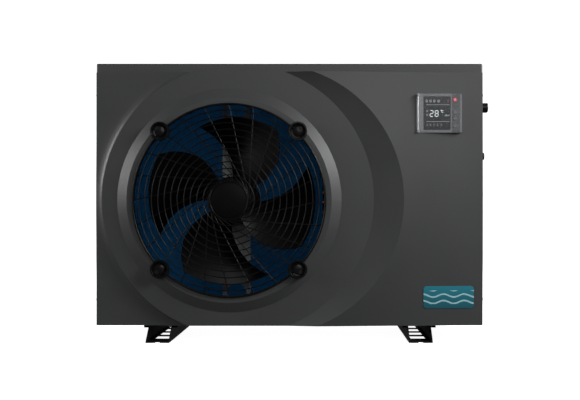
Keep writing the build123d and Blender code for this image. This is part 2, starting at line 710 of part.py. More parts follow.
def partition():
    """Upright sheet between the fan and the compressor."""
    sheet = block((PARTITION_X, PARTITION_X + SHEET), (FRONT + PANEL_RETURN * 2, REAR_INNER - PAN_SHEET * 2),
                  (PAN_TOP, ROOF - LID_FIELD_DEPTH - ASSEMBLY_GAP))
    for height, radius in ((gas_height(), PIPE_RADIUS), (liquid_height(), LIQUID_RADIUS)):
        sheet -= rod("X", radius + HOLE_GAP, (0, RIGHT), (coil_middle(), height))
    return sheet


# Fan and guard

def lug_places(spread):
    """Four corners of a square round the fan."""
    return [(FAN_X + side * spread, FAN_Z + up * spread) for side in (-1, 1) for up in (-1, 1)]


def guard_screw_places():
    return lug_places(GUARD_SCREW_SPREAD)


def fan_guard():
    """Concentric wires, spokes that touch the hub ring, and a centre disc."""
    wire = GUARD_WIRE
    outline = Circle(OPENING_RADIUS) - Circle(OPENING_RADIUS - GUARD_RIM)
    for step in range(1, GUARD_RINGS):
        radius = OPENING_RADIUS - wire / 2 - step * GUARD_PITCH
        outline += Circle(radius + wire / 2) - Circle(radius - wire / 2)
    run = sqrt(OPENING_RADIUS ** 2 - GUARD_HUB_RING ** 2)
    lean = degrees(acos(GUARD_HUB_RING / OPENING_RADIUS))
    for step in range(GUARD_SPOKES):
        touch = step * 360 / GUARD_SPOKES - lean
        spoke = Pos(GUARD_HUB_RING, run / 2 - wire / 2) * Rectangle(wire, run)
        outline += Rot(0, 0, touch) * spoke
    outline += Circle(GUARD_DISC)
    for step in range(BLADES):
        outline += Rot(0, 0, 45 + step * 90) * Rectangle(2 * GUARD_HUB_RING, wire)
    guard = extrude(facing(COLLAR_FACE, FAN) * outline, GUARD_THICKNESS)
    return guard


def guard_lugs():
    """Round cups that clamp the guard's rim to the collar."""
    lugs = []
    floor = COLLAR_FACE - GUARD_THICKNESS
    for lug, screw in zip(lug_places(LUG_SPREAD), guard_screw_places()):
        cup = rod("Y", LUG_RADIUS, (COLLAR_FACE - LUG_HEIGHT, COLLAR_FACE), lug)
        cup -= rod("Y", LUG_RADIUS - LUG_RIM, (COLLAR_FACE - LUG_HEIGHT, floor - LUG_FLOOR), lug)
        cup -= rod("Y", OPENING_RADIUS, (floor, COLLAR_FACE), FAN)
        cup -= rod("Y", SCREW_RADIUS, (COLLAR_FACE - LUG_HEIGHT, COLLAR_FACE), screw)
        lugs.append(cup)
    return gathered(lugs)


def guard_screws():
    screws = []
    seat = COLLAR_FACE - GUARD_THICKNESS - LUG_FLOOR
    for spot in guard_screw_places():
        head = rod("Y", GUARD_SCREW_HEAD, (seat - SCREW_HEAD_HEIGHT, seat), spot)
        screws.append(head + rod("Y", SCREW_RADIUS, (seat, COLLAR_FACE + SCREW_STEM), spot))
    return gathered(screws)


def fan_orifice():
    """Short ring behind the opening that keeps the air off the blade tips."""
    front = COLLAR_FACE + PANEL_WALL
    ring = pipe("Y", ORIFICE_RADIUS, OPENING_RADIUS, (front, front + ORIFICE_DEPTH), FAN)
    flange = OPENING_RADIUS + COLLAR_TOP - PANEL_WALL
    ring += pipe("Y", flange, OPENING_RADIUS, (front, front + PANEL_WALL), FAN)
    holes = [rod("Y", SCREW_RADIUS, (front, front + PANEL_WALL), spot) for spot in guard_screw_places()]
    return bored(ring, holes)


def blade_row(radius, share):
    """Points across a blade at one radius, from its front edge to its back edge."""
    front_edge = FRONT_EDGE_ROOT + FRONT_EDGE_SWEEP * share ** FRONT_EDGE_CURVE
    back_edge = BACK_EDGE_ROOT + BACK_EDGE_SWEEP * share ** BACK_EDGE_CURVE
    depth = FAN_ROOT_DEPTH + (FAN_DEPTH - FAN_ROOT_DEPTH) * share
    line = []
    for column in range(BLADE_ROWS + 1):
        chord = column / BLADE_ROWS
        angle = radians(front_edge + (back_edge - front_edge) * chord)
        bow = BLADE_CAMBER * share * (1 / 2 - sin(pi * chord))
        y = FAN_FRONT + BLADE_WALL + (depth - 2 * BLADE_WALL) * chord + bow
        line.append((FAN_X + radius * cos(angle), y, FAN_Z + radius * sin(angle)))
    return line


def blade():
    """Sickle blade: its edges sweep round the hub as the radius grows."""
    root = HUB_RADIUS - BLADE_ROOT_DEPTH
    rows = []
    for row in range(BLADE_ROWS + 1):
        share = row / BLADE_ROWS
        rows.append(blade_row(root + (TIP_RADIUS - root) * share, share))
    return thicken(Face.make_surface_from_array_of_points(rows), BLADE_WALL)


def fan_impeller():
    """Moulded hub and four sickle blades."""
    back = FAN_FRONT + HUB_DEPTH
    boss = rod("Y", SHAFT_RADIUS * 2, (FAN_FRONT + HUB_WALL, back - HUB_WALL), FAN)
    room = rod("Y", HUB_RADIUS - HUB_WALL, (FAN_FRONT + HUB_WALL * 2, back), FAN) - boss
    fan = rod("Y", HUB_RADIUS, (FAN_FRONT, back), FAN)
    fan = fillet(fan.edges().group_by(Axis.Y)[0], HUB_WALL)
    one = blade()
    spin = Axis(origin=(FAN_X, 0, FAN_Z), direction=(0, 1, 0))
    for step in range(BLADES):
        fan += one.rotate(spin, step * 360 / BLADES)
    return fan - room - rod("Y", SHAFT_RADIUS, (FAN_FRONT, back), FAN)


def motor_front():
    return MOTOR_BACK - MOTOR_LENGTH


def motor_shaft():
    """Shaft from the rear bearing to the fan nut."""
    return rod("Y", SHAFT_RADIUS, (FAN_FRONT - NUT_HEIGHT - RUNNING_CLEARANCE, MOTOR_BACK - MOTOR_WALL), FAN)


def fan_nut():
    nut = hexagon("Y", NUT_RADIUS, (FAN_FRONT - NUT_HEIGHT, FAN_FRONT), FAN)
    return nut - rod("Y", SHAFT_RADIUS, (FAN_FRONT - NUT_HEIGHT, FAN_FRONT), FAN)


def bearing_spans():
    """Front and rear bearing, each in a seat of the motor's end walls."""
    front = motor_front() + MOTOR_WALL / 2
    back = MOTOR_BACK - MOTOR_WALL
    return ((front, front + BEARING_WIDTH), (back - BEARING_WIDTH, back))


def motor_housing():
    """Closed motor can with bearing seats and its stator winding pressed in."""
    front = motor_front()
    can = rod("Y", MOTOR_RADIUS, (front, MOTOR_BACK), FAN)
    can = chamfer(can.edges().group_by(Axis.Y)[0], MOTOR_WALL)
    can -= rod("Y", MOTOR_RADIUS - MOTOR_WALL, (front + MOTOR_WALL, MOTOR_BACK - MOTOR_WALL), FAN)
    for low, high in bearing_spans():
        can += rod("Y", BEARING_RADIUS + MOTOR_WALL, (low, high), FAN)
    can += pipe("Y", MOTOR_RADIUS - MOTOR_WALL, ROTOR_RADIUS + AIR_GAP, rotor_span(), FAN)
    for low, high in bearing_spans():
        can -= rod("Y", BEARING_RADIUS, (low, high), FAN)
    can -= rod("Y", SHAFT_RADIUS + SHAFT_HOLE_GAP, (front, front + MOTOR_WALL), FAN)
    holes = [rod("Y", BOLT / 4, (MOTOR_BACK - MOTOR_WALL, MOTOR_BACK), spot) for spot in motor_bolt_places()]
    return bored(can, holes)


def motor_bearings():
    bore = SHAFT_RADIUS + RUNNING_CLEARANCE
    return gathered(pipe("Y", BEARING_RADIUS, bore, span, FAN) for span in bearing_spans())


def rotor_span():
    middle = (motor_front() + MOTOR_BACK) / 2
    return (middle - ROTOR_LENGTH / 2, middle + ROTOR_LENGTH / 2)


def motor_rotor():
    return pipe("Y", ROTOR_RADIUS, SHAFT_RADIUS, rotor_span(), FAN)


def motor_bolt_places():
    reach = MOTOR_BOLT_CIRCLE / sqrt(2)
    return [(FAN_X + side * reach, FAN_Z + up * reach) for side in (-1, 1) for up in (-1, 1)]


def motor_mast():
    """Upright channel from the base pan to the lid that carries the motor."""
    half = MAST_WIDTH / 2
    wall = MAST_SHEET
    back = MOTOR_BACK + MAST_FLANGE
    height = (PAN_TOP, ROOF - LID_FIELD_DEPTH - ASSEMBLY_GAP)
    mast = block((FAN_X - half, FAN_X + half), (MOTOR_BACK, back), height)
    mast -= block((FAN_X - half + wall, FAN_X + half - wall), (MOTOR_BACK + wall, back + wall),
                  (height[0] + wall, height[1] - wall))
    for step in (-3, -2, 2, 3):
        spot = (FAN_X, FAN_Z + step * MAST_HOLE_PITCH)
        mast -= rod("Y", MAST_HOLE, (MOTOR_BACK, MOTOR_BACK + wall), spot)
    holes = [rod("Y", BOLT / 4, (MOTOR_BACK, MOTOR_BACK + wall), spot) for spot in motor_bolt_places()]
    return bored(mast, holes)


def motor_bolts():
    bolts = []
    seat = MOTOR_BACK + MAST_SHEET
    for spot in motor_bolt_places():
        head = hexagon("Y", BOLT / 2, (seat, seat + BOLT / 2), spot)
        bolts.append(head + rod("Y", BOLT / 4, (MOTOR_BACK - MOTOR_WALL, seat), spot))
    return gathered(bolts)


# Evaporator

def coil_middle():
    """y of the middle of the evaporator's long leg."""
    return COIL_BACK - COIL_DEPTH / 2


def bend_heights():
    """Lower end of every return bend, one every second tube pair."""
    room = COIL_TOP - COIL_BOTTOM - BEND_START - TUBE_PITCH
    count = int(room // (2 * TUBE_PITCH)) + 1
    return [COIL_BOTTOM + BEND_START + step * 2 * TUBE_PITCH for step in range(count)]


def between_bends(step):
    """Height of the free tube row above one return bend."""
    return bend_heights()[step] + 1.5 * TUBE_PITCH


def gas_height():
    return between_bends(GAS_ROW)


def liquid_height():
    return between_bends(LIQUID_ROW)


def evaporator_rear():
    """Finned block of the long leg, solid between its end plates."""
    deep = (COIL_BACK - COIL_DEPTH, COIL_BACK)
    return block((COIL_LEFT, COIL_RIGHT - COIL_PLATE), deep, (COIL_BOTTOM, COIL_TOP))


def evaporator_side():
    """Finned block of the short leg beside the fan."""
    deep = (COIL_FRONT + COIL_PLATE, COIL_BACK - COIL_DEPTH - COIL_PLATE)
    return block((COIL_LEFT, COIL_LEFT + COIL_DEPTH), deep, (COIL_BOTTOM, COIL_TOP))


def evaporator_plates():
    """Steel plates at the free ends of the two blocks."""
    height = (COIL_BOTTOM - COIL_LIFT, COIL_TOP)
    rear = block((COIL_RIGHT - COIL_PLATE, COIL_RIGHT), (COIL_BACK - COIL_DEPTH, COIL_BACK), height)
    side = block((COIL_LEFT, COIL_LEFT + COIL_DEPTH), (COIL_FRONT, COIL_FRONT + COIL_PLATE), height)
    return gathered([rear, side])


def half_bend(radius):
    """Half ring of tube that stands on the XY plane and arches along X, from Y- to Y+."""
    ring = Torus(radius, TUBE_RADIUS)
    return ring & block((0, 2 * radius), (-2 * radius, 2 * radius), (-radius, radius))


def evaporator_bends():
    """Copper return bends at the end plates."""
    radius = TUBE_PITCH / 2
    arch = half_bend(radius)
    bends = []
    for low in bend_heights():
        middle = low + radius
        for offset in (-COIL_DEPTH / 4, COIL_DEPTH / 4):
            rear = Pos(COIL_RIGHT, coil_middle() + offset, middle) * Rot(90, 0, 0) * arch
            spot = (COIL_LEFT + COIL_DEPTH / 2 + offset, COIL_FRONT, middle)
            side = Pos(*spot) * Rot(0, 0, -90) * Rot(90, 0, 0) * arch
            bends += [rear, side]
    return gathered(bends)


# Compressor and refrigerant parts

def compressor_feet():
    return [(COMPRESSOR_X + side * COMPRESSOR_FOOT_X, COMPRESSOR_Y + end * COMPRESSOR_FOOT_Y)
            for side in (-1, 1) for end in (-1, 1)]


def compressor_shell():
    return rod("Z", COMPRESSOR_RADIUS, (PLATE_Z + COMPRESSOR_PLATE, COMPRESSOR_TOP), COMPRESSOR)


def compressor():
    """Welded rotary compressor on its mounting plate."""
    can = compressor_shell()
    can = fillet(can.edges().group_by(Axis.Z)[-1] + can.edges().group_by(Axis.Z)[0], COMPRESSOR_DOME)
    half_x = COMPRESSOR_FOOT_X + GROMMET_RADIUS
    half_y = COMPRESSOR_FOOT_Y + GROMMET_RADIUS
    span_x = (COMPRESSOR_X - half_x, COMPRESSOR_X + half_x)
    span_y = (COMPRESSOR_Y - half_y, COMPRESSOR_Y + half_y)
    plate = block(span_x, span_y, (PLATE_Z, PLATE_Z + COMPRESSOR_PLATE))
    plate = fillet(plate.edges().filter_by(Axis.Z), GROMMET_RADIUS)
    for spot in compressor_feet():
        plate -= rod("Z", BOLT / 2, (PLATE_Z, PLATE_Z + COMPRESSOR_PLATE), spot)
    return can + plate


def rubber_mounts():
    """Grommets under the compressor and a ring under the heat exchanger."""
    mounts = [pipe("Z", GROMMET_RADIUS, BOLT / 2, (PAN_TOP, PLATE_Z), spot) for spot in compressor_feet()]
    outer = EXCHANGER_RADIUS - EXCHANGER_WALL
    ring = pipe("Z", outer, EXCHANGER_RADIUS / 2, (PAN_TOP, EXCHANGER_LOW), EXCHANGER)
    stems = [rod("Z", BOLT / 2 + BOLT_CLEARANCE, (BASE, EXCHANGER_LOW), spot) for spot in foot_bolt_places()]
    mounts.append(bored(ring, stems))
    return gathered(mounts)


def terminal_cover():
    """Cap over the compressor's terminals, on its side."""
    x = COMPRESSOR_X - COMPRESSOR_RADIUS
    z = COMPRESSOR_TOP - COMPRESSOR_HEIGHT / 2
    cap = Pos(x, COMPRESSOR_Y, z) * Box(*TERMINAL_COVER)
    cap = fillet(cap.edges().group_by(Axis.X)[0], TERMINAL_COVER_EDGE)
    return cap - compressor_shell()


def accumulator():
    """Suction accumulator strapped to the compressor."""
    top = ACCUMULATOR_LOW + ACCUMULATOR_HEIGHT
    can = rod("Z", ACCUMULATOR_RADIUS, (ACCUMULATOR_LOW, top), ACCUMULATOR)
    can = fillet(can.edges().group_by(Axis.Z)[-1] + can.edges().group_by(Axis.Z)[0], ACCUMULATOR_RADIUS / 2)
    middle = ACCUMULATOR_LOW + ACCUMULATOR_HEIGHT / 2
    across = (COMPRESSOR_X - STRAP_WIDTH / 2, COMPRESSOR_X + STRAP_WIDTH / 2)
    reach = (ACCUMULATOR_Y, COMPRESSOR_Y - COMPRESSOR_RADIUS + STUB_WALL)
    strap = block(across, reach, (middle, middle + STRAP_HEIGHT))
    return can + (strap - compressor_shell())


def four_way_valve():
    """Reversing valve: one port above, three below."""
    x = COMPRESSOR_X
    stub = PIPE_RADIUS + STUB_WALL
    body = rod("X", VALVE_RADIUS, (x - VALVE_LENGTH / 2, x + VALVE_LENGTH / 2), (COMPRESSOR_Y, VALVE_Z))
    body = chamfer(body.edges().group_by(Axis.X)[0] + body.edges().group_by(Axis.X)[-1], VALVE_EDGE)
    for offset in (-VALVE_PORT, 0, VALVE_PORT):
        body += rod("Z", stub, (valve_low(), VALVE_Z), (x + offset, COMPRESSOR_Y))
    return body + rod("Z", stub, (VALVE_Z, valve_high()), (x, COMPRESSOR_Y))


def valve_low():
    return VALVE_Z - VALVE_RADIUS - VALVE_STEM


def valve_high():
    return VALVE_Z + VALVE_RADIUS + VALVE_STEM


def discharge_pipe():
    """Compressor top to the reversing valve's upper port."""
    start = COMPRESSOR_X + COMPRESSOR_RADIUS / 2
    out = COMPRESSOR_X + COMPRESSOR_RADIUS
    turn = COMPRESSOR_TOP + PIPE_RISE
    crest = valve_high() + 2 * PIPE_BEND
    y = COMPRESSOR_Y
    return bent_pipe([(start, y, COMPRESSOR_TOP), (start, y, turn), (out, y, turn), (out, y, crest),
                      (COMPRESSOR_X, y, crest), (COMPRESSOR_X, y, valve_high())], PIPE_RADIUS)


def suction_pipe():
    """Reversing valve's middle port to the accumulator."""
    low = COMPRESSOR_TOP + PIPE_RISE
    return bent_pipe([(COMPRESSOR_X, COMPRESSOR_Y, valve_low()), (COMPRESSOR_X, COMPRESSOR_Y, low),
                      (COMPRESSOR_X, ACCUMULATOR_Y, low),
                      (COMPRESSOR_X, ACCUMULATOR_Y, ACCUMULATOR_LOW + ACCUMULATOR_HEIGHT)], PIPE_RADIUS)


def gas_pipes():
    """Reversing valve to the evaporator, and to the top of the heat exchanger."""
    start = COMPRESSOR_Y
    x = COMPRESSOR_X - VALVE_PORT
    by_wall = PARTITION_X + 2 * PIPE_BEND
    height = gas_height()
    y = coil_middle()
    cold = bent_pipe([(x, start, valve_low()), (x, start, height), (by_wall, start, height),
                      (by_wall, y, height), (COIL_RIGHT, y, height)], PIPE_RADIUS)
    x = COMPRESSOR_X + VALVE_PORT
    far, turn = EXCHANGER[0], COMPRESSOR_Y + 4 * PIPE_BEND
    top = EXCHANGER_HIGH + EXCHANGER_CAP
    crest = top + 3 * PIPE_BEND
    low = valve_low() - 2 * PIPE_BEND
    hot = bent_pipe([(x, start, valve_low()), (x, start, low), (x, turn, low), (x, turn, crest),
                     (far, turn, crest), (far, turn, top)], PIPE_RADIUS)
    return gathered([cold, hot])


def drier_spot():
    return ((COMPRESSOR_X + EXCHANGER[0]) / 2 + PIPE_BEND, EXCHANGER_Y - EXCHANGER_RADIUS - 3 * PIPE_BEND)


def drier_low():
    return EXCHANGER_LOW + 8 * PIPE_BEND


def liquid_pipes():
    """Heat exchanger to the filter drier, and expansion valve to the evaporator."""
    x, y = drier_spot()
    low = EXCHANGER_LOW + 2 * PIPE_BEND
    front = EXCHANGER_Y - EXCHANGER_RADIUS
    start = EXCHANGER[0]
    warm = bent_pipe([(start, front, low), (start, y, low), (x, y, low), (x, y, drier_low())], LIQUID_RADIUS)
    short = rod("Z", LIQUID_RADIUS, (drier_low() + DRIER_LENGTH, expansion_low()), drier_spot())
    height = liquid_height()
    by_wall = PARTITION_X + 2 * PIPE_BEND
    back = coil_middle()
    cold = bent_pipe([(x - EXPANSION_RADIUS, y, height), (by_wall, y, height), (by_wall, back, height),
                      (COIL_RIGHT, back, height)], LIQUID_RADIUS)
    return gathered([warm, short, cold])


def expansion_low():
    return liquid_height() - EXPANSION_HEIGHT / 2


def filter_drier():
    can = rod("Z", DRIER_RADIUS, (drier_low(), drier_low() + DRIER_LENGTH), drier_spot())
    return fillet(can.edges().group_by(Axis.Z)[-1] + can.edges().group_by(Axis.Z)[0], DRIER_SHOULDER)


def expansion_valve():
    """Electronic expansion valve with its coil on top."""
    low = expansion_low()
    body = rod("Z", EXPANSION_RADIUS, (low, low + EXPANSION_HEIGHT), drier_spot())
    top = low + EXPANSION_HEIGHT
    head = rod("Z", EXPANSION_HEAD, (top, top + EXPANSION_HEAD_HEIGHT), drier_spot())
    return body + fillet(head.edges().group_by(Axis.Z)[-1], EXPANSION_EDGE)


# Water side

def exchanger_shell():
    """Upright plastic vessel round the titanium coil, with two water branches."""
    shell = rod("Z", EXCHANGER_RADIUS, (EXCHANGER_LOW, EXCHANGER_HIGH), EXCHANGER)
    bore = EXCHANGER_RADIUS - EXCHANGER_WALL
    room = rod("Z", bore, (EXCHANGER_LOW + EXCHANGER_WALL, EXCHANGER_HIGH), EXCHANGER)
    for step in range(EXCHANGER_BANDS):
        height = EXCHANGER_LOW + (step + 1 / 2) * EXCHANGER_HEIGHT / EXCHANGER_BANDS
        shell += rod("Z", EXCHANGER_RADIUS + BAND_DEPTH, (height, height + BAND_HEIGHT), EXCHANGER)
    shell -= room
    for height in WATER_HEIGHTS:
        shell -= rod("Y", WATER_PIPE_BORE + WATER_PIPE_WALL, (EXCHANGER_Y, BACK), (EXCHANGER[0], height))
    return shell


def exchanger_cap():
    high = EXCHANGER_HIGH + EXCHANGER_CAP
    cap = rod("Z", EXCHANGER_RADIUS + CAP_OVERHANG, (EXCHANGER_HIGH, high), EXCHANGER)
    return fillet(cap.edges().group_by(Axis.Z)[-1], EXCHANGER_CAP / 2)


def titanium_coil():
    """Stack of tube rings joined by two upright headers."""
    low = EXCHANGER_LOW + 4 * PIPE_BEND
    pitch = (EXCHANGER_HIGH - EXCHANGER_LOW - 6 * PIPE_BEND) / (TITANIUM_TURNS - 1)
    rings = [Pos(EXCHANGER[0], EXCHANGER[1], low + step * pitch) * Torus(TITANIUM_RADIUS, TITANIUM_TUBE)
             for step in range(TITANIUM_TURNS)]
    coil = rings[0]
    for ring in rings[1:]:
        coil += ring
    for side in (-1, 1):
        spot = (EXCHANGER[0] + side * TITANIUM_RADIUS, EXCHANGER[1])
        coil += rod("Z", TITANIUM_HEADER, (low - PIPE_BEND, EXCHANGER_HIGH), spot)
    return coil


def water_pipes():
    """Branches from the vessel out through the rear panel."""
    outer = WATER_PIPE_BORE + WATER_PIPE_WALL
    start = EXCHANGER_Y + sqrt((EXCHANGER_RADIUS - EXCHANGER_WALL) ** 2 - outer ** 2)
    return gathered(pipe("Y", outer, WATER_PIPE_BORE, (start, UNION_START), (EXCHANGER[0], height))
                    for height in WATER_HEIGHTS)


def union_end():
    return UNION_START + UNION_STEP + UNION_SOCKET


def water_unions():
    """Union tails outside the rear panel, each with a socket for the pool pipe."""
    unions = []
    for height in WATER_HEIGHTS:
        spot = (EXCHANGER[0], height)
        tail = rod("Y", UNION_RADIUS, (UNION_START, union_end()), spot)
        tail += rod("Y", UNION_NUT_RADIUS, (UNION_START, UNION_START + UNION_COLLAR), spot)
        tail -= rod("Y", WATER_PIPE_BORE, (UNION_START, union_end()), spot)
        tail -= rod("Y", WATER_BORE, (UNION_START + UNION_STEP, union_end()), spot)
        unions.append(tail)
    return gathered(unions)


def union_nuts():
    """Ribbed hand nuts round the union tails."""
    nuts = []
    start = UNION_START + UNION_COLLAR + ASSEMBLY_GAP
    reach = UNION_NUT_RADIUS - UNION_RIB
    for height in WATER_HEIGHTS:
        spot = (EXCHANGER[0], height)
        nut = rod("Y", reach + UNION_RIB / 3, (start, start + UNION_NUT_WIDTH), spot)
        for step in range(UNION_NUT_RIBS):
            angle = step * 2 * pi / UNION_NUT_RIBS
            rib = (spot[0] + reach * cos(angle), spot[1] + reach * sin(angle))
            nut += rod("Y", UNION_RIB, (start, start + UNION_NUT_WIDTH), rib)
        nuts.append(nut - rod("Y", UNION_RADIUS + THREAD_GAP, (start, start + UNION_NUT_WIDTH), spot))
    return gathered(nuts)


def flow_switch():
    """Paddle switch screwed into the top of the inlet branch."""
    outer = WATER_PIPE_BORE + WATER_PIPE_WALL
    y = (EXCHANGER_Y + EXCHANGER_RADIUS + REAR_INNER) / 2
    low = WATER_HEIGHTS[0] + outer
    spot = (EXCHANGER[0], y)
    seat = low + SWITCH_NECK
    stem = rod("Z", SWITCH_STEM, (WATER_HEIGHTS[0] + WATER_PIPE_BORE, seat), spot)
    stem -= rod("Y", outer, (0, BACK), (EXCHANGER[0], WATER_HEIGHTS[0]))
    head = rod("Z", SWITCH_RADIUS, (seat, seat + SWITCH_HEIGHT), spot)
    return stem + fillet(head.edges().group_by(Axis.Z)[-1], SWITCH_EDGE)


def drain_spout():
    """Condensate outlet pushed through the base pan."""
    spot = (FAN_X + MAST_WIDTH, SPOUT_Y)
    low = BASE - SPOUT_LENGTH
    top = PAN_TOP + SPOUT_FLANGE_WALL
    spout = rod("Z", SPOUT_RADIUS, (low, BASE), spot)
    spout += rod("Z", SPOUT_NECK, (BASE, PAN_TOP), spot)
    spout += rod("Z", SPOUT_FLANGE, (PAN_TOP, top), spot)
    return spout - rod("Z", SPOUT_BORE, (low, top), spot)


# Electrical parts

def box_limits():
    """Limits of the electrical box."""
    width, depth, height = BOX_SIZE
    return ((BOX_RIGHT - width, BOX_RIGHT), (BOX_FRONT, BOX_FRONT + depth), (BOX_TOP - height, BOX_TOP))


def electric_box():
    """Folded steel tray, open to the front and hung under the lid."""
    x, y, z = box_limits()
    wall = BOX_SHEET
    room = block((x[0] + wall, x[1] - wall), (y[0] - wall, y[1] - wall), (z[0] + wall, z[1] - wall))
    tray = block(x, y, z) - room
    tab = (y[0] + BOX_TAB_INSET, y[1] - BOX_TAB_INSET)
    for edge in (x[0], x[1] - BOX_TAB):
        tray += block((edge, edge + BOX_TAB), tab, (z[1], ROOF - LID_FIELD_DEPTH))
    return tray


def board_limits():
    """Limits of the control board, on spacers in the back of the box."""
    x, y, z = box_limits()
    back = y[1] - BOX_SHEET - SPACER_LENGTH
    left = x[0] + BOARD_CORNER[0]
    low = z[0] + BOARD_CORNER[1]
    return ((left, left + BOARD_SIZE[0]), (back - BOARD_THICKNESS, back), (low, low + BOARD_SIZE[1]))


def on_board(size, corner):
    """Block that stands on the board's face, with its lower left corner at a place on the board."""
    x, y, z = board_limits()
    width, depth, height = size
    left = x[0] + corner[0]
    low = z[0] + corner[1]
    return block((left, left + width), (y[0] - depth, y[0]), (low, low + height))


def control_board():
    """Board with its transformer, relays and capacitors, on four spacers."""
    x, y, z = board_limits()
    board = block(x, y, z)
    wall = box_limits()[1][1] - BOX_SHEET
    for corner_x in (x[0] + SPACER_INSET, x[1] - SPACER_INSET):
        for corner_z in (z[0] + SPACER_INSET, z[1] - SPACER_INSET):
            board += rod("Y", SPACER_RADIUS, (y[1], wall), (corner_x, corner_z))
    board += on_board(TRANSFORMER_SIZE, TRANSFORMER_CORNER)
    board += on_board(CHIP_SIZE, CHIP_CORNER)
    for step in range(RELAYS):
        left = RELAY_CORNER[0] + step * RELAY_PITCH
        board += on_board(RELAY_SIZE, (left, RELAY_CORNER[1]))
        spot = (x[0] + left + RELAY_SIZE[0] / 2, z[0] + CAPACITOR_HEIGHT)
        board += rod("Y", CAPACITOR_RADIUS, (y[0] - CAPACITOR_LENGTH, y[0]), spot)
    return board


def terminal_block():
    """Screw terminals for the supply cable, in the right of the box."""
    x, y, z = box_limits()
    right = x[1] - BOX_SHEET - SPACER_LENGTH
    back = y[1] - BOX_SHEET
    low = z[0] + TERMINAL_LIFT
    left = right - TERMINAL_SIZE[0]
    front = back - TERMINAL_SIZE[1]
    pocket_x, pocket_y, pocket_z = TERMINAL_POCKET
    body = block((left, right), (front, back), (low, low + TERMINAL_WAYS * TERMINAL_PITCH))
    for step in range(TERMINAL_WAYS):
        middle = low + (step + 1 / 2) * TERMINAL_PITCH
        height = (middle - pocket_z / 2, middle + pocket_z / 2)
        for side in (left, right - pocket_x):
            body -= block((side, side + pocket_x), (front, front + pocket_y), height)
    return body


def cable_gland(index):
    """Compression gland through the right side panel, with its lock nut inside."""
    spot = (GLAND_Y, GLAND_HEIGHTS[index])
    inner = SIDE_FACE - SHEET
    collar = SIDE_FACE + GLAND_COLLARS[index]
    end = SIDE_FACE + GLAND_REACH[index]
    dome = rod("X", GLAND_DOMES[index], (collar, end), spot)
    gland = hexagon("X", GLAND_RADII[index], (SIDE_FACE, collar), spot)
    gland += fillet(dome.edges().group_by(Axis.X)[-1], GLAND_EDGES[index])
    gland += rod("X", GLAND_STEMS[index], (inner - GLAND_INSIDE, SIDE_FACE), spot)
    gland += hexagon("X", GLAND_LOCK_NUTS[index], (inner - GLAND_LOCK_WALL, inner), spot)
    return gland - rod("X", GLAND_BORES[index], (inner - GLAND_INSIDE, end), spot)


def cable_glands():
    return gathered(cable_gland(index) for index in range(len(GLAND_BORES)))


# Controller

def controller_limits():
    """Outer limits of the controller's frame."""
    half_x = CONTROLLER_WIDTH / 2
    half_z = CONTROLLER_HEIGHT / 2
    return ((CONTROLLER_X - half_x, CONTROLLER_X + half_x),
            (CONTROLLER_FACE, CONTROLLER_FACE + CONTROLLER_DEPTH),
            (CONTROLLER_Z - half_z, CONTROLLER_Z + half_z))


def screen_limits(grow):
    """Width and height limits of the display window, grown all round."""
    middle = CONTROLLER_X + SCREEN_SHIFT
    return ((middle - SCREEN_WIDTH / 2 - grow, middle + SCREEN_WIDTH / 2 + grow),
            (CONTROLLER_Z - SCREEN_HEIGHT / 2 - grow, CONTROLLER_Z + SCREEN_HEIGHT / 2 + grow))


def hinge_line(radius, span):
    """Bar on the cover's hinge axis."""
    return rod("Z", radius, span, (HINGE_X, HINGE_Y))


def ear_spans():
    """Height spans of the frame's two hinge ears."""
    low = CONTROLLER_Z - CONTROLLER_HEIGHT / 2
    high = CONTROLLER_Z + CONTROLLER_HEIGHT / 2
    return ((low, low + HINGE_EAR), (high - HINGE_EAR, high))


def controller_frame():
    """Bezel with a window, key holes and two hinge ears, open at the back."""
    x, y, z = controller_limits()
    wall = CONTROLLER_WALL
    body = block(x, y, z)
    body = fillet(body.edges().filter_by(Axis.Y), wall)
    body -= block((x[0] + wall, x[1] - wall), (y[0] + wall, y[1] + wall), (z[0] + wall, z[1] - wall))
    window_x, window_z = screen_limits(0)
    body -= block(window_x, (y[0] - wall, y[0] + wall), window_z)
    for height in KEY_HEIGHTS.values():
        spot = (CONTROLLER_X + KEY_SHIFT, CONTROLLER_Z + height)
        body -= rod("Y", KEY_RADIUS + KEY_GAP, (y[0] - wall, y[0] + wall), spot)
    for span in ear_spans():
        ear = hinge_line(HINGE_RADIUS, span)
        ear += block((HINGE_X - HINGE_RADIUS, HINGE_X + HINGE_RADIUS), (HINGE_Y, y[0] + wall), span)
        body += ear - block((0, x[0]), (y[0] - 2 * COVER_STANDOFF, y[1]), z)
    return body - hinge_line(HINGE_PIN, z)


def hinge_pin():
    return hinge_line(HINGE_PIN, controller_limits()[2])


def controller_display():
    """Display module: glass in the window, its carrier behind the bezel and its board."""
    window_x, window_z = screen_limits(-CONTROLLER_GAP)
    seat = CONTROLLER_FACE + CONTROLLER_WALL
    module = block(window_x, (CONTROLLER_FACE + GLASS_RECESS, seat), window_z)
    carrier_x, carrier_z = screen_limits(CARRIER_BORDER)
    back = seat + CARRIER_DEPTH
    module += block(carrier_x, (seat, back), carrier_z)
    x, y, z = controller_limits()
    wall = CONTROLLER_WALL
    board = block((x[0] + wall, x[1] - wall), (back, back + BOARD_THICKNESS), (z[0] + wall, z[1] - wall))
    return module + board


def key(name):
    """Push key with a flange that keeps it behind the bezel."""
    spot = (CONTROLLER_X + KEY_SHIFT, CONTROLLER_Z + KEY_HEIGHTS[name])
    front = CONTROLLER_FACE - KEY_PROUD
    seat = CONTROLLER_FACE + CONTROLLER_WALL + KEY_GAP
    cap = rod("Y", KEY_RADIUS, (front, seat), spot)
    cap = fillet(cap.edges().group_by(Axis.Y)[0], KEY_EDGE)
    return cap + rod("Y", KEY_FLANGE, (seat, seat + KEY_FLANGE_WALL), spot)


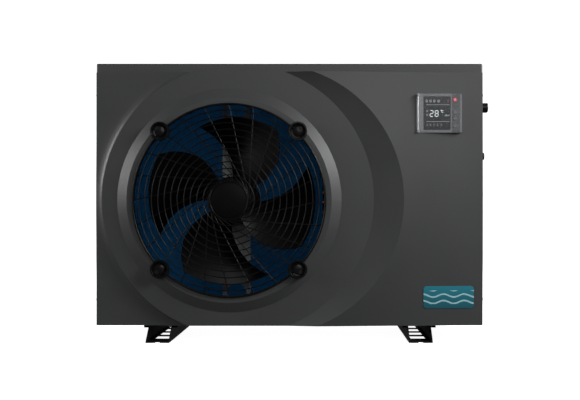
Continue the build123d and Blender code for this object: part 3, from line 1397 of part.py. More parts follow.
def controller_cover():
    """Clear weather cover on the frame's left hinge, with a shallow rim."""
    x, y, z = controller_limits()
    wall = COVER_WALL
    front = HINGE_Y - HINGE_RADIUS
    back = y[0] - COVER_RIM_GAP
    gap = COVER_GAP
    start = HINGE_X + 2 * HINGE_RADIUS
    plate = block((HINGE_X, x[1]), (front, front + wall), z)
    rim = block((start, x[1]), (front, back), z)
    rim -= block((0, x[1] - wall), (front, back), (z[0] + wall, z[1] - wall))
    cover = plate + rim
    for low, high in ear_spans():
        cover -= block((x[0], start), (front, back), (low - gap, high + gap))
    low = ear_spans()[0][1] + gap
    high = ear_spans()[1][0] - gap
    cover += hinge_line(HINGE_RADIUS, (low, high))
    return cover - hinge_line(HINGE_PIN + RUNNING_CLEARANCE, (low, high))


def all_parts():
    """Every node's name and shape."""
    shape = relief()
    parts = {
        "base_pan": base_pan(), "foot_left": foot(-FOOT_X), "foot_right": foot(FOOT_X),
        "mounting_bolts": mounting_bolts(),
        "front_panel": front_panel(shape), "name_plate": name_plate(shape),
        "lid": lid(), "left_side_grille": left_side_grille(), "right_side_panel": right_side_panel(),
        "rear_coil_guard": rear_coil_guard(), "rear_panel": rear_panel(), "partition": partition(),
        "casing_screws": casing_screws(),
        "fan_guard": fan_guard(), "guard_lugs": guard_lugs(), "guard_screws": guard_screws(),
        "fan_orifice": fan_orifice(), "fan_impeller": fan_impeller(), "motor_shaft": motor_shaft(),
        "fan_nut": fan_nut(), "motor_housing": motor_housing(), "motor_bearings": motor_bearings(),
        "motor_rotor": motor_rotor(), "motor_mast": motor_mast(),
        "motor_bolts": motor_bolts(),
        "evaporator_rear": evaporator_rear(), "evaporator_side": evaporator_side(),
        "evaporator_plates": evaporator_plates(), "evaporator_bends": evaporator_bends(),
        "compressor": compressor(), "rubber_mounts": rubber_mounts(),
        "terminal_cover": terminal_cover(), "accumulator": accumulator(), "four_way_valve": four_way_valve(),
        "discharge_pipe": discharge_pipe(), "suction_pipe": suction_pipe(), "gas_pipes": gas_pipes(),
        "liquid_pipes": liquid_pipes(), "filter_drier": filter_drier(), "expansion_valve": expansion_valve(),
        "exchanger_shell": exchanger_shell(),
        "exchanger_cap": exchanger_cap(), "titanium_coil": titanium_coil(), "water_pipes": water_pipes(),
        "water_unions": water_unions(), "union_nuts": union_nuts(), "flow_switch": flow_switch(),
        "drain_spout": drain_spout(),
        "electric_box": electric_box(), "control_board": control_board(), "terminal_block": terminal_block(),
        "cable_glands": cable_glands(),
        "controller_frame": controller_frame(), "controller_display": controller_display(),
        "hinge_pin": hinge_pin(), "controller_cover": controller_cover(),
    }
    for name in KEY_HEIGHTS:
        parts["key_" + name] = key(name)
    return parts


os.makedirs("parts", exist_ok=True)
for node, shape_of_node in all_parts().items():
    export_step(shape_of_node, os.path.join("parts", node + ".step"))
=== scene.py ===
"""Pool heat pump: finishes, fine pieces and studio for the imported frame."""
import logging
import math
from dataclasses import dataclass
from enum import Enum
from typing import Sequence, Union

import bpy
from mathutils import Matrix, Vector


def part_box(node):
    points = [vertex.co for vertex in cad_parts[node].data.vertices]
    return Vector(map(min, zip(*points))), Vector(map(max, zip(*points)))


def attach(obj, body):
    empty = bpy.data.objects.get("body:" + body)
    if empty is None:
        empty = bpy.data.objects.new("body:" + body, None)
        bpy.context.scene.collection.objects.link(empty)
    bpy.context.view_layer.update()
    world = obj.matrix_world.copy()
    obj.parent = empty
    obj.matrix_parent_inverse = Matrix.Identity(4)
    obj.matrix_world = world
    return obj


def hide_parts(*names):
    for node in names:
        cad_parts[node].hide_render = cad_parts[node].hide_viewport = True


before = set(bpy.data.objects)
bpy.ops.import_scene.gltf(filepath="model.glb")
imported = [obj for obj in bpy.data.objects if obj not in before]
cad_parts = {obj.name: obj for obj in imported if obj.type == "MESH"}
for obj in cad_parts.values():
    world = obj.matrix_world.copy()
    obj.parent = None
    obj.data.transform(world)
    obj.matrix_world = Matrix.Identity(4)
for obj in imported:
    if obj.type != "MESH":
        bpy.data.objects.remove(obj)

LOG = logging.getLogger("heat_pump")
Colour = tuple[float, float, float]
Point = tuple[float, float, float]
MM = 0.001


# Materials

class Value:
    """A number or a colour on its way through a material's nodes."""

    def __init__(self, paint: "Paint", socket: bpy.types.NodeSocket) -> None:
        """Keep the socket and the paint that it belongs to."""
        self.paint = paint
        self.socket = socket

    def math(self, operation: str, *others: "Operand") -> "Value":
        """Add a Math node.

        Args:
            operation: the node's operation.
            others: what follows this value in the node's sockets.

        Returns:
            The node's result.
        """
        return self.paint.math(operation, self, *others)

    def __add__(self, other: "Operand") -> "Value":
        """Sum."""
        return self.math("ADD", other)

    def __mul__(self, other: "Operand") -> "Value":
        """Product."""
        return self.math("MULTIPLY", other)

    def __sub__(self, other: "Operand") -> "Value":
        """Difference."""
        return self.math("SUBTRACT", other)

    def __rsub__(self, other: "Operand") -> "Value":
        """Difference from a number."""
        return self.paint.math("SUBTRACT", other, self)


Operand = Union[Value, float]


class Paint:
    """One material under construction, round a Principled shader."""

    def __init__(self, name: str) -> None:
        """Start an empty material.

        Args:
            name: the material's name.
        """
        self.material = bpy.data.materials.new(name)
        self.material.use_nodes = True
        self.tree = self.material.node_tree
        self.tree.nodes.clear()
        output = self.tree.nodes.new("ShaderNodeOutputMaterial")
        self.shader = self.tree.nodes.new("ShaderNodeBsdfPrincipled")
        self.tree.links.new(self.shader.outputs[0], output.inputs[0])

    def node(self, kind: str, settings: dict, sockets: dict) -> bpy.types.Node:
        """Add any node.

        Args:
            kind: the node's type.
            settings: its properties.
            sockets: values or links by socket name or number.

        Returns:
            The new node.
        """
        made = self.tree.nodes.new(kind)
        for key, value in settings.items():
            setattr(made, key, value)
        for key, value in sockets.items():
            self.feed(made.inputs[key], value)
        return made

    def feed(self, socket: bpy.types.NodeSocket, value: object) -> None:
        """Link a value to a socket, or set the socket's own number or colour."""
        if isinstance(value, Value):
            self.tree.links.new(value.socket, socket)
        elif isinstance(value, tuple) and socket.type == "RGBA":
            socket.default_value = (*value, 1.0)
        else:
            socket.default_value = value

    def math(self, operation: str, *operands: Operand) -> Value:
        """Add a Math node on any values."""
        sockets = dict(enumerate(operands))
        return Value(self, self.node("ShaderNodeMath", {"operation": operation}, sockets).outputs[0])

    def place(self, stretch: Point = (1.0, 1.0, 1.0), shift: Point = (0.0, 0.0, 0.0)) -> Value:
        """Object coordinates, moved and then stretched."""
        where = self.node("ShaderNodeTexCoord", {}, {}).outputs["Object"]
        moved = self.node("ShaderNodeMapping", {}, {"Vector": Value(self, where), "Location": shift,
                                                    "Scale": stretch})
        return Value(self, moved.outputs[0])

    def noise(self, scale: float, detail: float = 2.0, stretch: Point = (1.0, 1.0, 1.0)) -> Value:
        """Cloudy noise with about scale features in a metre."""
        where = self.place(stretch)
        made = self.node("ShaderNodeTexNoise", {}, {"Vector": where, "Scale": scale, "Detail": detail})
        return Value(self, made.outputs[0])

    def part(self, axis: int, shift: Point = (0.0, 0.0, 0.0)) -> Value:
        """One of the three object coordinates."""
        split = self.node("ShaderNodeSeparateXYZ", {}, {0: self.place(shift=shift)})
        return Value(self, split.outputs[axis])

    def ramp(self, factor: Value, low: float, high: float) -> Value:
        """Clamped rise from 0 at low to 1 at high."""
        made = self.node("ShaderNodeMapRange", {"clamp": True}, {0: factor, 1: low, 2: high})
        return Value(self, made.outputs[0])

    def mix(self, factor: Operand, first: object, second: object) -> Value:
        """Blend two colours."""
        made = self.node("ShaderNodeMix", {"data_type": "RGBA"}, {0: factor})
        self.feed(made.inputs[6], first)
        self.feed(made.inputs[7], second)
        return Value(self, made.outputs[2])

    def bump(self, height: Value, distance: float, strength: float = 1.0) -> None:
        """Raise the surface where height is high.

        Args:
            height: the relief, from 0 to 1.
            distance: its depth in metres.
            strength: how much of it shows.
        """
        made = self.node("ShaderNodeBump", {}, {"Height": height, "Distance": distance, "Strength": strength})
        self.set(Normal=Value(self, made.outputs[0]))

    def set(self, **sockets: object) -> None:
        """Feed the shader's sockets; an underscore in a name stands for a space."""
        for key, value in sockets.items():
            self.feed(self.shader.inputs[key.replace("_", " ")], value)


def lighter(colour: Colour, share: float) -> Colour:
    """Colour with each part multiplied by a share."""
    return tuple(min(1.0, part * share) for part in colour)


@dataclass(frozen=True)
class Coat:
    """Powder coat, enamel or moulded plastic: fine grain and faint mottle."""

    name: str
    colour: Colour
    roughness: float = 0.45
    grain: float = 1400.0
    depth: float = 0.00006
    mottle: float = 0.12
    clear: float = 0.0
    specular: float = 0.5

    def build(self) -> bpy.types.Material:
        """Make the material."""
        paint = Paint(self.name)
        cloud = paint.noise(9.0, 3.0)
        fleck = paint.noise(self.grain, 1.0)
        shade = cloud * 0.6 + fleck * 0.4
        paint.set(Base_Color=paint.mix(shade, lighter(self.colour, 1 - self.mottle),
                                       lighter(self.colour, 1 + self.mottle)))
        paint.set(Roughness=(cloud - 0.5) * 0.12 + (fleck - 0.5) * 0.10 + self.roughness)
        paint.shader.inputs["Specular IOR Level"].default_value = self.specular
        paint.shader.inputs["Coat Weight"].default_value = self.clear
        paint.shader.inputs["Coat Roughness"].default_value = 0.08
        paint.bump(fleck, self.depth)
        return paint.material


@dataclass(frozen=True)
class Metal:
    """Bare or plated metal, brushed along one direction and dulled in patches."""

    name: str
    colour: Colour
    roughness: float = 0.32
    brush: Point = (1.0, 1.0, 30.0)
    tarnish: float = 0.25

    def build(self) -> bpy.types.Material:
        """Make the material."""
        paint = Paint(self.name)
        lines = paint.noise(160.0, 2.0, self.brush)
        patch = paint.noise(24.0, 4.0)
        paint.set(Base_Color=paint.mix(patch, lighter(self.colour, 1 - self.tarnish), self.colour))
        paint.set(Metallic=1.0, Roughness=(lines - 0.5) * 0.18 + patch * 0.14 + self.roughness)
        paint.bump(lines, 0.00005)
        return paint.material


@dataclass(frozen=True)
class Lit:
    """Part that glows by itself, like a lamp behind a key or a display segment."""

    name: str
    colour: Colour
    power: float

    def build(self) -> bpy.types.Material:
        """Make the material."""
        paint = Paint(self.name)
        cloud = paint.noise(700.0, 1.0)
        paint.set(Base_Color=lighter(self.colour, 0.5), Roughness=0.4)
        paint.set(Emission_Color=paint.mix(cloud, lighter(self.colour, 0.85), self.colour))
        paint.shader.inputs["Emission Strength"].default_value = self.power
        return paint.material


@dataclass(frozen=True)
class ClearPlastic:
    """Thin clear cover with faint haze."""

    name: str
    tint: Colour
    alpha: float

    def build(self) -> bpy.types.Material:
        """Make the material."""
        paint = Paint(self.name)
        haze = paint.noise(60.0, 3.0)
        paint.set(Base_Color=self.tint, Roughness=haze * 0.08 + 0.04, Alpha=haze * 0.05 + self.alpha)
        return paint.material


@dataclass(frozen=True)
class FinFoil:
    """Blue water-shedding foil, streaked upright."""

    name: str
    colour: Colour

    def build(self) -> bpy.types.Material:
        """Make the material."""
        paint = Paint(self.name)
        streak = paint.noise(40.0, 3.0, (6.0, 6.0, 0.6))
        paint.set(Base_Color=paint.mix(streak, lighter(self.colour, 0.55), lighter(self.colour, 1.25)))
        paint.set(Metallic=0.1, Roughness=streak * 0.2 + 0.30)
        paint.bump(streak, 0.0001)
        return paint.material


@dataclass(frozen=True)
class Circuit:
    """Printed board lacquer with a faint pattern of tracks."""

    name: str
    colour: Colour

    def build(self) -> bpy.types.Material:
        """Make the material."""
        paint = Paint(self.name)
        cells = paint.node("ShaderNodeTexVoronoi", {"distance": "MANHATTAN"},
                           {"Vector": paint.place(), "Scale": 260.0})
        tracks = paint.ramp(Value(paint, cells.outputs[0]), 0.3, 0.36)
        paint.set(Base_Color=paint.mix(tracks, lighter(self.colour, 1.6), self.colour), Roughness=0.35)
        paint.bump(tracks, 0.00004)
        return paint.material


@dataclass(frozen=True)
class Bezel:
    """Satin grey moulding with a paler band painted on its left as a highlight along the hinge, and a darker
    strip under the keys.
    """

    name: str
    colour: Colour
    painted_highlight: Colour
    strip: Colour
    left: float
    right: float
    highlight_width: float = 0.0155
    strip_width: float = 0.0235
    strip_inset: float = 0.0035
    soft: float = 0.0006

    def build(self) -> bpy.types.Material:
        """Make the material."""
        paint = Paint(self.name)
        across = paint.part(0)
        cloud = paint.noise(40.0, 3.0)
        fleck = paint.noise(1600.0, 1.0)
        # The paler band on the left is a painted highlight, lighter than the moulding's own grey.
        end = self.left + self.highlight_width
        in_highlight = 1.0 - paint.ramp(across, end - self.soft, end)
        start = self.right - self.strip_width
        stop = self.right - self.strip_inset
        before_end = 1.0 - paint.ramp(across, stop - self.soft, stop)
        in_strip = paint.ramp(across, start, start + self.soft) * before_end
        ground = paint.mix(cloud, lighter(self.colour, 0.9), lighter(self.colour, 1.1))
        paint.set(Base_Color=paint.mix(in_strip, paint.mix(in_highlight, ground, self.painted_highlight), self.strip))
        paint.set(Roughness=cloud * 0.1 + 0.34)
        paint.bump(fleck, 0.00003)
        return paint.material


@dataclass(frozen=True)
class WavePlate:
    """Teal plate with pale, evenly spaced water lines."""

    name: str
    colour: Colour
    line: Colour
    middle: Point
    wave_rate: float = 130.0
    wave_height: float = 3.4 * MM
    line_rate: float = 420.0
    edge: float = 15.5 * MM
    soft: float = 0.5 * MM
    half_height: float = 26.0 * MM

    def build(self) -> bpy.types.Material:
        """Make the material."""
        paint = Paint(self.name)
        shift = tuple(-part for part in self.middle)
        across = paint.part(0, shift)
        up = paint.part(2, shift)
        swell = (across * self.wave_rate).math("SINE") * self.wave_height
        bands = ((up + swell) * self.line_rate).math("SINE")
        inside = 1.0 - paint.ramp(up.math("ABSOLUTE"), self.edge, self.edge + self.soft)
        lines = paint.ramp(bands, 0.62, 0.78) * inside
        fade = paint.ramp(up, -self.half_height, self.half_height)
        ground = paint.mix(fade, lighter(self.colour, 0.55), lighter(self.colour, 1.25))
        paint.set(Base_Color=paint.mix(lines, ground, self.line), Roughness=0.32 - lines * 0.1)
        paint.shader.inputs["Coat Weight"].default_value = 0.6
        paint.bump(lines, 0.0002)
        return paint.material


class Finish(Enum):
    """Every finish on the unit."""

    SHELL = Coat("charcoal shell", (0.036, 0.037, 0.038), 0.40, depth=0.00004)
    STEEL = Coat("charcoal powder coat", (0.036, 0.037, 0.038), 0.46)
    BLACK = Coat("black powder coat", (0.004, 0.004, 0.004), 0.42, specular=0.25)
    FOOT = Coat("black foot enamel", (0.003, 0.003, 0.003), 0.50, specular=0.15)
    WIRE = Coat("black dipped wire", (0.003, 0.003, 0.003), 0.34, 600.0, 0.00002, specular=0.14)
    BLADE = Coat("black blade moulding", (0.002, 0.002, 0.002), 0.42, 300.0, 0.00002, specular=0.08)
    GLOSS = Coat("black gloss moulding", (0.003, 0.003, 0.003), 0.24, 300.0, 0.00002, specular=0.3)
    MATTE = Coat("black matte moulding", (0.010, 0.010, 0.011), 0.55)
    MOTOR = Coat("motor enamel", (0.012, 0.012, 0.013), 0.45, specular=0.25)
    PIPEWORK = Coat("grey moulding", (0.19, 0.20, 0.21), 0.48)
    RUBBER = Coat("black rubber", (0.020, 0.020, 0.020), 0.75, 500.0, 0.00012)
    KEY = Coat("grey silicone key", (0.085, 0.088, 0.092), 0.5)
    RIB = Coat("pale grey ribs", (0.20, 0.21, 0.22), 0.4)
    GLASS = Coat("dark display glass", (0.010, 0.011, 0.013), 0.16, 120.0, 0.00001, specular=0.3)
    ZINC = Metal("zinc plate", (0.56, 0.57, 0.59), 0.34)
    GROUND = Metal("ground steel", (0.48, 0.48, 0.50), 0.22, (1.0, 30.0, 1.0), 0.12)
    COPPER = Metal("drawn copper", (0.72, 0.34, 0.20), 0.28, (8.0, 8.0, 8.0), 0.35)
    BRASS = Metal("machined brass", (0.70, 0.50, 0.24), 0.28, (8.0, 8.0, 8.0), 0.25)
    TITANIUM = Metal("drawn titanium", (0.42, 0.41, 0.39), 0.36, (8.0, 8.0, 8.0), 0.2)
    FIN = FinFoil("blue fin foil", (0.020, 0.20, 0.48))
    BOARD = Circuit("board lacquer", (0.010, 0.10, 0.035))
    COVER = ClearPlastic("clear acrylic", (0.20, 0.21, 0.22), 0.02)
    POWER = Lit("power key lamp", (0.42, 0.02, 0.035), 0.45)
    SYMBOL = Lit("power key symbol", (0.95, 0.42, 0.50), 0.75)
    SEGMENT = Lit("display segment", (0.85, 0.90, 0.92), 0.8)
    ICON = Lit("display icon", (0.36, 0.38, 0.38), 0.6)
    FAINT = Lit("dim display segment", (0.16, 0.17, 0.17), 0.5)
    WARM = Lit("alarm segment", (0.28, 0.10, 0.13), 0.5)
    PRINT = Coat("pale key print", (0.24, 0.25, 0.26), 0.5)


MADE: dict[str, bpy.types.Material] = {}


def material(finish: Finish) -> bpy.types.Material:
    """The finish's material, made once."""
    if finish.name not in MADE:
        MADE[finish.name] = finish.value.build()
    return MADE[finish.name]


def dress(piece: bpy.types.Object, look: bpy.types.Material) -> None:
    """Give every material slot of a piece one material."""
    if not piece.material_slots:
        piece.data.materials.append(look)
    for slot in piece.material_slots:
        slot.material = look


# Modelling

class Bench:
    """Modelling steps shared by every new piece."""

    @staticmethod
    def clear() -> None:
        """Leave edit mode and deselect everything."""
        if bpy.context.object and bpy.context.object.mode != "OBJECT":
            bpy.ops.object.mode_set(mode="OBJECT")
        bpy.ops.object.select_all(action="DESELECT")

    @staticmethod
    def edit() -> None:
        """Enter edit mode with the whole mesh selected."""
        bpy.ops.object.mode_set(mode="EDIT")
        bpy.ops.mesh.select_all(action="SELECT")

    @staticmethod
    def done(name: str, angle: float = 35.0) -> bpy.types.Object:
        """Leave edit mode with clean outward faces.

        Args:
            name: the piece's name.
            angle: edges flatter than this, in degrees, are shaded smooth.

        Returns:
            The active object, with its place in its mesh.
        """
        Bench.edit()
        bpy.ops.mesh.remove_doubles(threshold=0.00001)
        bpy.ops.mesh.normals_make_consistent(inside=False)
        bpy.ops.object.mode_set(mode="OBJECT")
        bpy.ops.object.transform_apply(location=True, rotation=True, scale=True)
        bpy.ops.object.shade_smooth_by_angle(angle=math.radians(angle))
        piece = bpy.context.object
        piece.name = name
        return piece

    @staticmethod
    def turned(piece: bpy.types.Object, count: int, centre: Point) -> list[bpy.types.Object]:
        """Copies of a piece evenly spaced round an axis along Y.

        Args:
            piece: the first of them.
            count: how many there are in all.
            centre: a point on the axis.

        Returns:
            All the pieces, the first among them.
        """
        pieces = [piece]
        to_axis = Matrix.Translation(Vector(centre))
        for step in range(1, count):
            copy = piece.copy()
            copy.data = piece.data.copy()
            bpy.context.collection.objects.link(copy)
            spin = Matrix.Rotation(step * math.tau / count, 4, "Y")
            copy.data.transform(to_axis @ spin @ to_axis.inverted())
            pieces.append(copy)
        return pieces

    @staticmethod
    def joined(pieces: Sequence[bpy.types.Object], name: str) -> bpy.types.Object:
        """Join pieces into one object."""
        Bench.clear()
        for piece in pieces:
            piece.select_set(True)
        bpy.context.view_layer.objects.active = pieces[0]
        if len(pieces) > 1:
            bpy.ops.object.join()
        pieces[0].name = name
        return pieces[0]

    @staticmethod
    def hoop(centre: Point, radius: float, wire: float, steps: int = 96) -> bpy.types.Object:
        """Round wire bent into a ring round an axis along Y."""
        Bench.clear()
        spot = (centre[0] + radius, centre[1], centre[2])
        bpy.ops.mesh.primitive_circle_add(vertices=8, radius=wire / 2, location=spot)
        Bench.edit()
        bpy.ops.mesh.spin(steps=steps, angle=math.tau, center=centre, axis=(0, 1, 0))
        return Bench.done("hoop", 60)

    @staticmethod
    def wire(points: Sequence[Point], thickness: float) -> bpy.types.Object:
        """Round wire drawn through points by extruding its end."""
        Bench.clear()
        start, after = Vector(points[0]), Vector(points[1])
        facing = (after - start).to_track_quat("Z", "Y").to_euler()
        bpy.ops.mesh.primitive_circle_add(vertices=8, radius=thickness / 2, fill_type="NGON",
                                          location=start, rotation=facing)
        bpy.ops.object.transform_apply(location=True, rotation=True, scale=True)
        Bench.edit()
        for first, second in zip(points, points[1:]):
            step = Vector(second) - Vector(first)
            bpy.ops.mesh.extrude_region_move(TRANSFORM_OT_translate={"value": step})
        return Bench.done("wire", 60)

    @staticmethod
    def slab(low: Point, high: Point, soften: float) -> bpy.types.Object:
        """Block between two corners with bevelled edges."""
        Bench.clear()
        size = Vector(high) - Vector(low)
        bpy.ops.mesh.primitive_cube_add(size=1.0, location=(Vector(low) + Vector(high)) / 2)
        bpy.context.object.scale = size
        bpy.ops.object.transform_apply(location=True, rotation=True, scale=True)
        Bench.edit()
        bpy.ops.mesh.bevel(offset=soften, segments=2, affect="EDGES")
        return Bench.done("slab")

    @staticmethod
    def dome(centre: Point, radii: Sequence[float], depths: Sequence[float],
             sides: int = 48) -> bpy.types.Object:
        """Turned cap that faces -Y: rings of given radius, each set forward by its depth."""
        Bench.clear()
        bpy.ops.mesh.primitive_circle_add(vertices=sides, radius=radii[0], fill_type="NGON", location=centre,
                                          rotation=(math.pi / 2, 0, 0))
        bpy.ops.object.transform_apply(location=True, rotation=True, scale=True)
        Bench.edit()
        for before, after, low, high in zip(radii, radii[1:], depths, depths[1:]):
            bpy.ops.mesh.extrude_region_move(TRANSFORM_OT_translate={"value": (0, low - high, 0)})
            share = after / before
            tip = (centre[0], centre[1] - high, centre[2])
            bpy.ops.transform.resize(value=(share, share, share), center_override=tip)
        return Bench.done("dome")


def fit(piece: bpy.types.Object, name: str, body: str, slot: str, finish: Finish,
        *nodes: str) -> bpy.types.Object:
    """Name, paint and mount a finished piece.

    Args:
        piece: the finished object.
        name: its name.
        body: the CAD body that it rides on.
        slot: the record's material slot; not used.
        finish: its finish.
        nodes: the CAD nodes that it stands for.

    Returns:
        The same piece.
    """
    piece.name = name
    dress(piece, material(finish))
    if nodes:
        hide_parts(*nodes)
    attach(piece, body)
    LOG.info("%s: %d faces", name, len(piece.data.polygons))
    return piece


def middle(node: str) -> Vector:
    """Centre of a CAD node's box."""
    low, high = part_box(node)
    return (Vector(low) + Vector(high)) / 2


# Sub-assemblies

@dataclass
class Guard:
    """Fan guard of round wires: hoops, spokes that touch the hub hoop, and a pressed centre disc."""

    wire: float = 2.6 * MM
    rim_wire: float = 5.0 * MM
    pitch: float = 15.0 * MM
    rings: int = 13
    spokes: int = 24
    hub: float = 46.0 * MM
    disc: float = 41.0 * MM
    crown: float = 5.0 * MM
    lean: float = 78.0
    spoke_steps: int = 8
    dish: tuple[float, ...] = (1.0, 1.0, 0.94, 0.3)
    dish_depths: tuple[float, ...] = (0.0, 2.2 * MM, 3.2 * MM, 4.2 * MM)
    lug: float = 22.0 * MM
    cup: tuple[float, ...] = (1.0, 1.0, 0.95, 0.84, 0.76, 0.70, 0.56, 0.50, 0.34)
    cup_depths: tuple[float, ...] = (0.0, 0.80, 0.98, 0.98, 0.80, 0.35, 0.30, 0.75, 0.85)

    def place(self) -> None:
        """Find the guard's centre and radius in the frame."""
        low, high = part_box("fan_guard")
        self.centre = middle("fan_guard")
        self.radius = (high[0] - low[0]) / 2
        self.face = high[1]

    def level(self, radius: float) -> float:
        """y of the wires at a distance from the axis: the guard is slightly crowned."""
        return self.face - self.rim_wire / 2 - self.crown * (1 - (radius / self.radius) ** 2)

    def build(self) -> None:
        """Model, paint and mount the guard."""
        self.place()
        x, z = self.centre.x, self.centre.z
        half = self.rim_wire / 2
        rim = Bench.hoop((x, self.face - half, z), self.radius - half, self.rim_wire, 128)
        wires = [rim]
        for ring in range(1, self.rings):
            radius = self.radius - ring * self.pitch - self.wire / 2
            wires.append(Bench.hoop((x, self.level(radius), z), radius, self.wire))
        wires += Bench.turned(self.spoke(x, z), self.spokes, (x, 0, z))
        disc = Bench.dome((x, self.level(0) + self.wire, z), [self.disc * share for share in self.dish],
                          self.dish_depths, 64)
        fit(Bench.joined(wires, "guard_wires"), "guard_wires", "cabinet", "black_steel", Finish.WIRE,
            "fan_guard")
        fit(disc, "guard_disc", "cabinet", "black_steel", Finish.BLADE)
        fit(self.cups(), "lug_cups", "cabinet", "gloss_black", Finish.GLOSS, "guard_lugs")

    def cups(self) -> bpy.types.Object:
        """Turned lugs at the guard's four corners: a raised rim round a shallow well."""
        low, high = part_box("guard_lugs")
        radius = self.lug
        spread = (high[0] - low[0]) / 2 - radius
        rise = high[1] - low[1]
        radii = [radius * share for share in self.cup]
        depths = [rise * share for share in self.cup_depths]
        made = []
        for side in (-1, 1):
            for up in (-1, 1):
                spot = (self.centre.x + side * spread, high[1], self.centre.z + up * spread)
                made.append(Bench.dome(spot, radii, depths))
        return Bench.joined(made, "cups")

    def spoke(self, x: float, z: float) -> bpy.types.Object:
        """First spoke: a straight line from the rim that touches the hub hoop."""
        run = math.sqrt((self.radius - self.rim_wire) ** 2 - self.hub ** 2)
        touch = -math.radians(self.lean)
        across = Vector((math.cos(touch), 0, math.sin(touch)))
        outward = Vector((-math.sin(touch), 0, math.cos(touch)))
        points = []
        for step in range(self.spoke_steps + 1):
            spot = across * self.hub + outward * (run * step / self.spoke_steps)
            points.append((x + spot.x, self.level(spot.length) + self.wire * 0.8, z + spot.z))
        return Bench.wire(points, self.wire)


@dataclass
class Evaporator:
    """Two blocks of thin blue fins on rows of copper tube."""

    pitch: float = 2.4 * MM
    foil: float = 0.25 * MM
    ripple: float = 2.4 * MM
    waves: int = 8
    tube: float = 9.6 * MM
    tube_pitch: float = 25.4 * MM
    first_tube: float = 33.0 * MM

    def build(self) -> None:
        """Model, paint and mount both blocks."""
        for node, along in (("evaporator_rear", 0), ("evaporator_side", 1)):
            part = node.replace("evaporator_", "")
            fit(self.fins(node, along), "fins_" + part, "cabinet", "blue_fin", Finish.FIN, node)
            fit(self.tubes(node, along), "coil_tubes_" + part, "cabinet", "copper", Finish.COPPER)

    def fins(self, node: str, along: int) -> bpy.types.Object:
        """Rippled foil sheets that fill a block's box.

        Args:
            node: the CAD block.
            along: the axis that the fins are stacked along.

        Returns:
            One object of all the fins.
        """
        low, high = Vector(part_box(node)[0]), Vector(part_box(node)[1])
        deep = 1 - along
        Bench.clear()
        turn = (math.pi / 2, 0, math.pi / 2) if along == 0 else (math.pi / 2, 0, 0)
        spot = (low + high) / 2
        spot[along] = low[along] + self.foil
        bpy.ops.mesh.primitive_grid_add(x_subdivisions=self.waves, y_subdivisions=1, size=1.0,
                                        location=spot, rotation=turn)
        bpy.context.object.scale = (high[deep] - low[deep], high.z - low.z, 1)
        bpy.ops.object.transform_apply(location=True, rotation=True, scale=True)
        sheet = bpy.context.object
        columns = sorted({round(v.co[deep], 6) for v in sheet.data.vertices})
        for part in (*sheet.data.edges, *sheet.data.polygons):
            part.select = False
        for vertex in sheet.data.vertices:
            vertex.select = columns.index(round(vertex.co[deep], 6)) % 2 == 1
        bpy.context.tool_settings.mesh_select_mode = (True, False, False)
        bpy.ops.object.mode_set(mode="EDIT")
        push = [0.0, 0.0, 0.0]
        push[along] = self.ripple
        bpy.ops.transform.translate(value=push)
        bpy.ops.object.mode_set(mode="OBJECT")
        solid = sheet.modifiers.new("foil", "SOLIDIFY")
        solid.thickness = self.foil
        stack = sheet.modifiers.new("stack", "ARRAY")
        stack.count = int((high[along] - low[along] - self.ripple - 2 * self.foil) / self.pitch)
        stack.use_relative_offset = False
        stack.use_constant_offset = True
        offset = [0.0, 0.0, 0.0]
        offset[along] = self.pitch
        stack.constant_offset_displace = offset
        for name in ("foil", "stack"):
            bpy.ops.object.modifier_apply(modifier=name)
        return sheet

    def tubes(self, node: str, along: int) -> bpy.types.Object:
        """Straight tubes through a block, in two staggered rows."""
        low, high = Vector(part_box(node)[0]), Vector(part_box(node)[1])
        deep = 1 - along
        rows = int((high.z - low.z - self.first_tube) / self.tube_pitch) + 1
        tubes = []
        for row in range(rows):
            for side in (-1, 1):
                ends = []
                for end in (low, high):
                    spot = (low + high) / 2
                    spot[along] = end[along]
                    spot[deep] += side * (high[deep] - low[deep]) / 4
                    spot.z = low.z + self.first_tube + row * self.tube_pitch
                    ends.append(tuple(spot))
                tubes.append(Bench.wire(ends, self.tube))
        return Bench.joined(tubes, "tubes")


class Segment(Enum):
    """Strokes of a seven-segment digit: centre as shares of the digit's box, and whether it lies flat."""

    TOP = (0.5, 1.0, True)
    MIDDLE = (0.5, 0.5, True)
    BOTTOM = (0.5, 0.0, True)
    UPPER_LEFT = (0.0, 0.75, False)
    UPPER_RIGHT = (1.0, 0.75, False)
    LOWER_LEFT = (0.0, 0.25, False)
    LOWER_RIGHT = (1.0, 0.25, False)


DIGITS = {
    2: (Segment.TOP, Segment.UPPER_RIGHT, Segment.MIDDLE, Segment.LOWER_LEFT, Segment.BOTTOM),
    8: tuple(Segment),
}


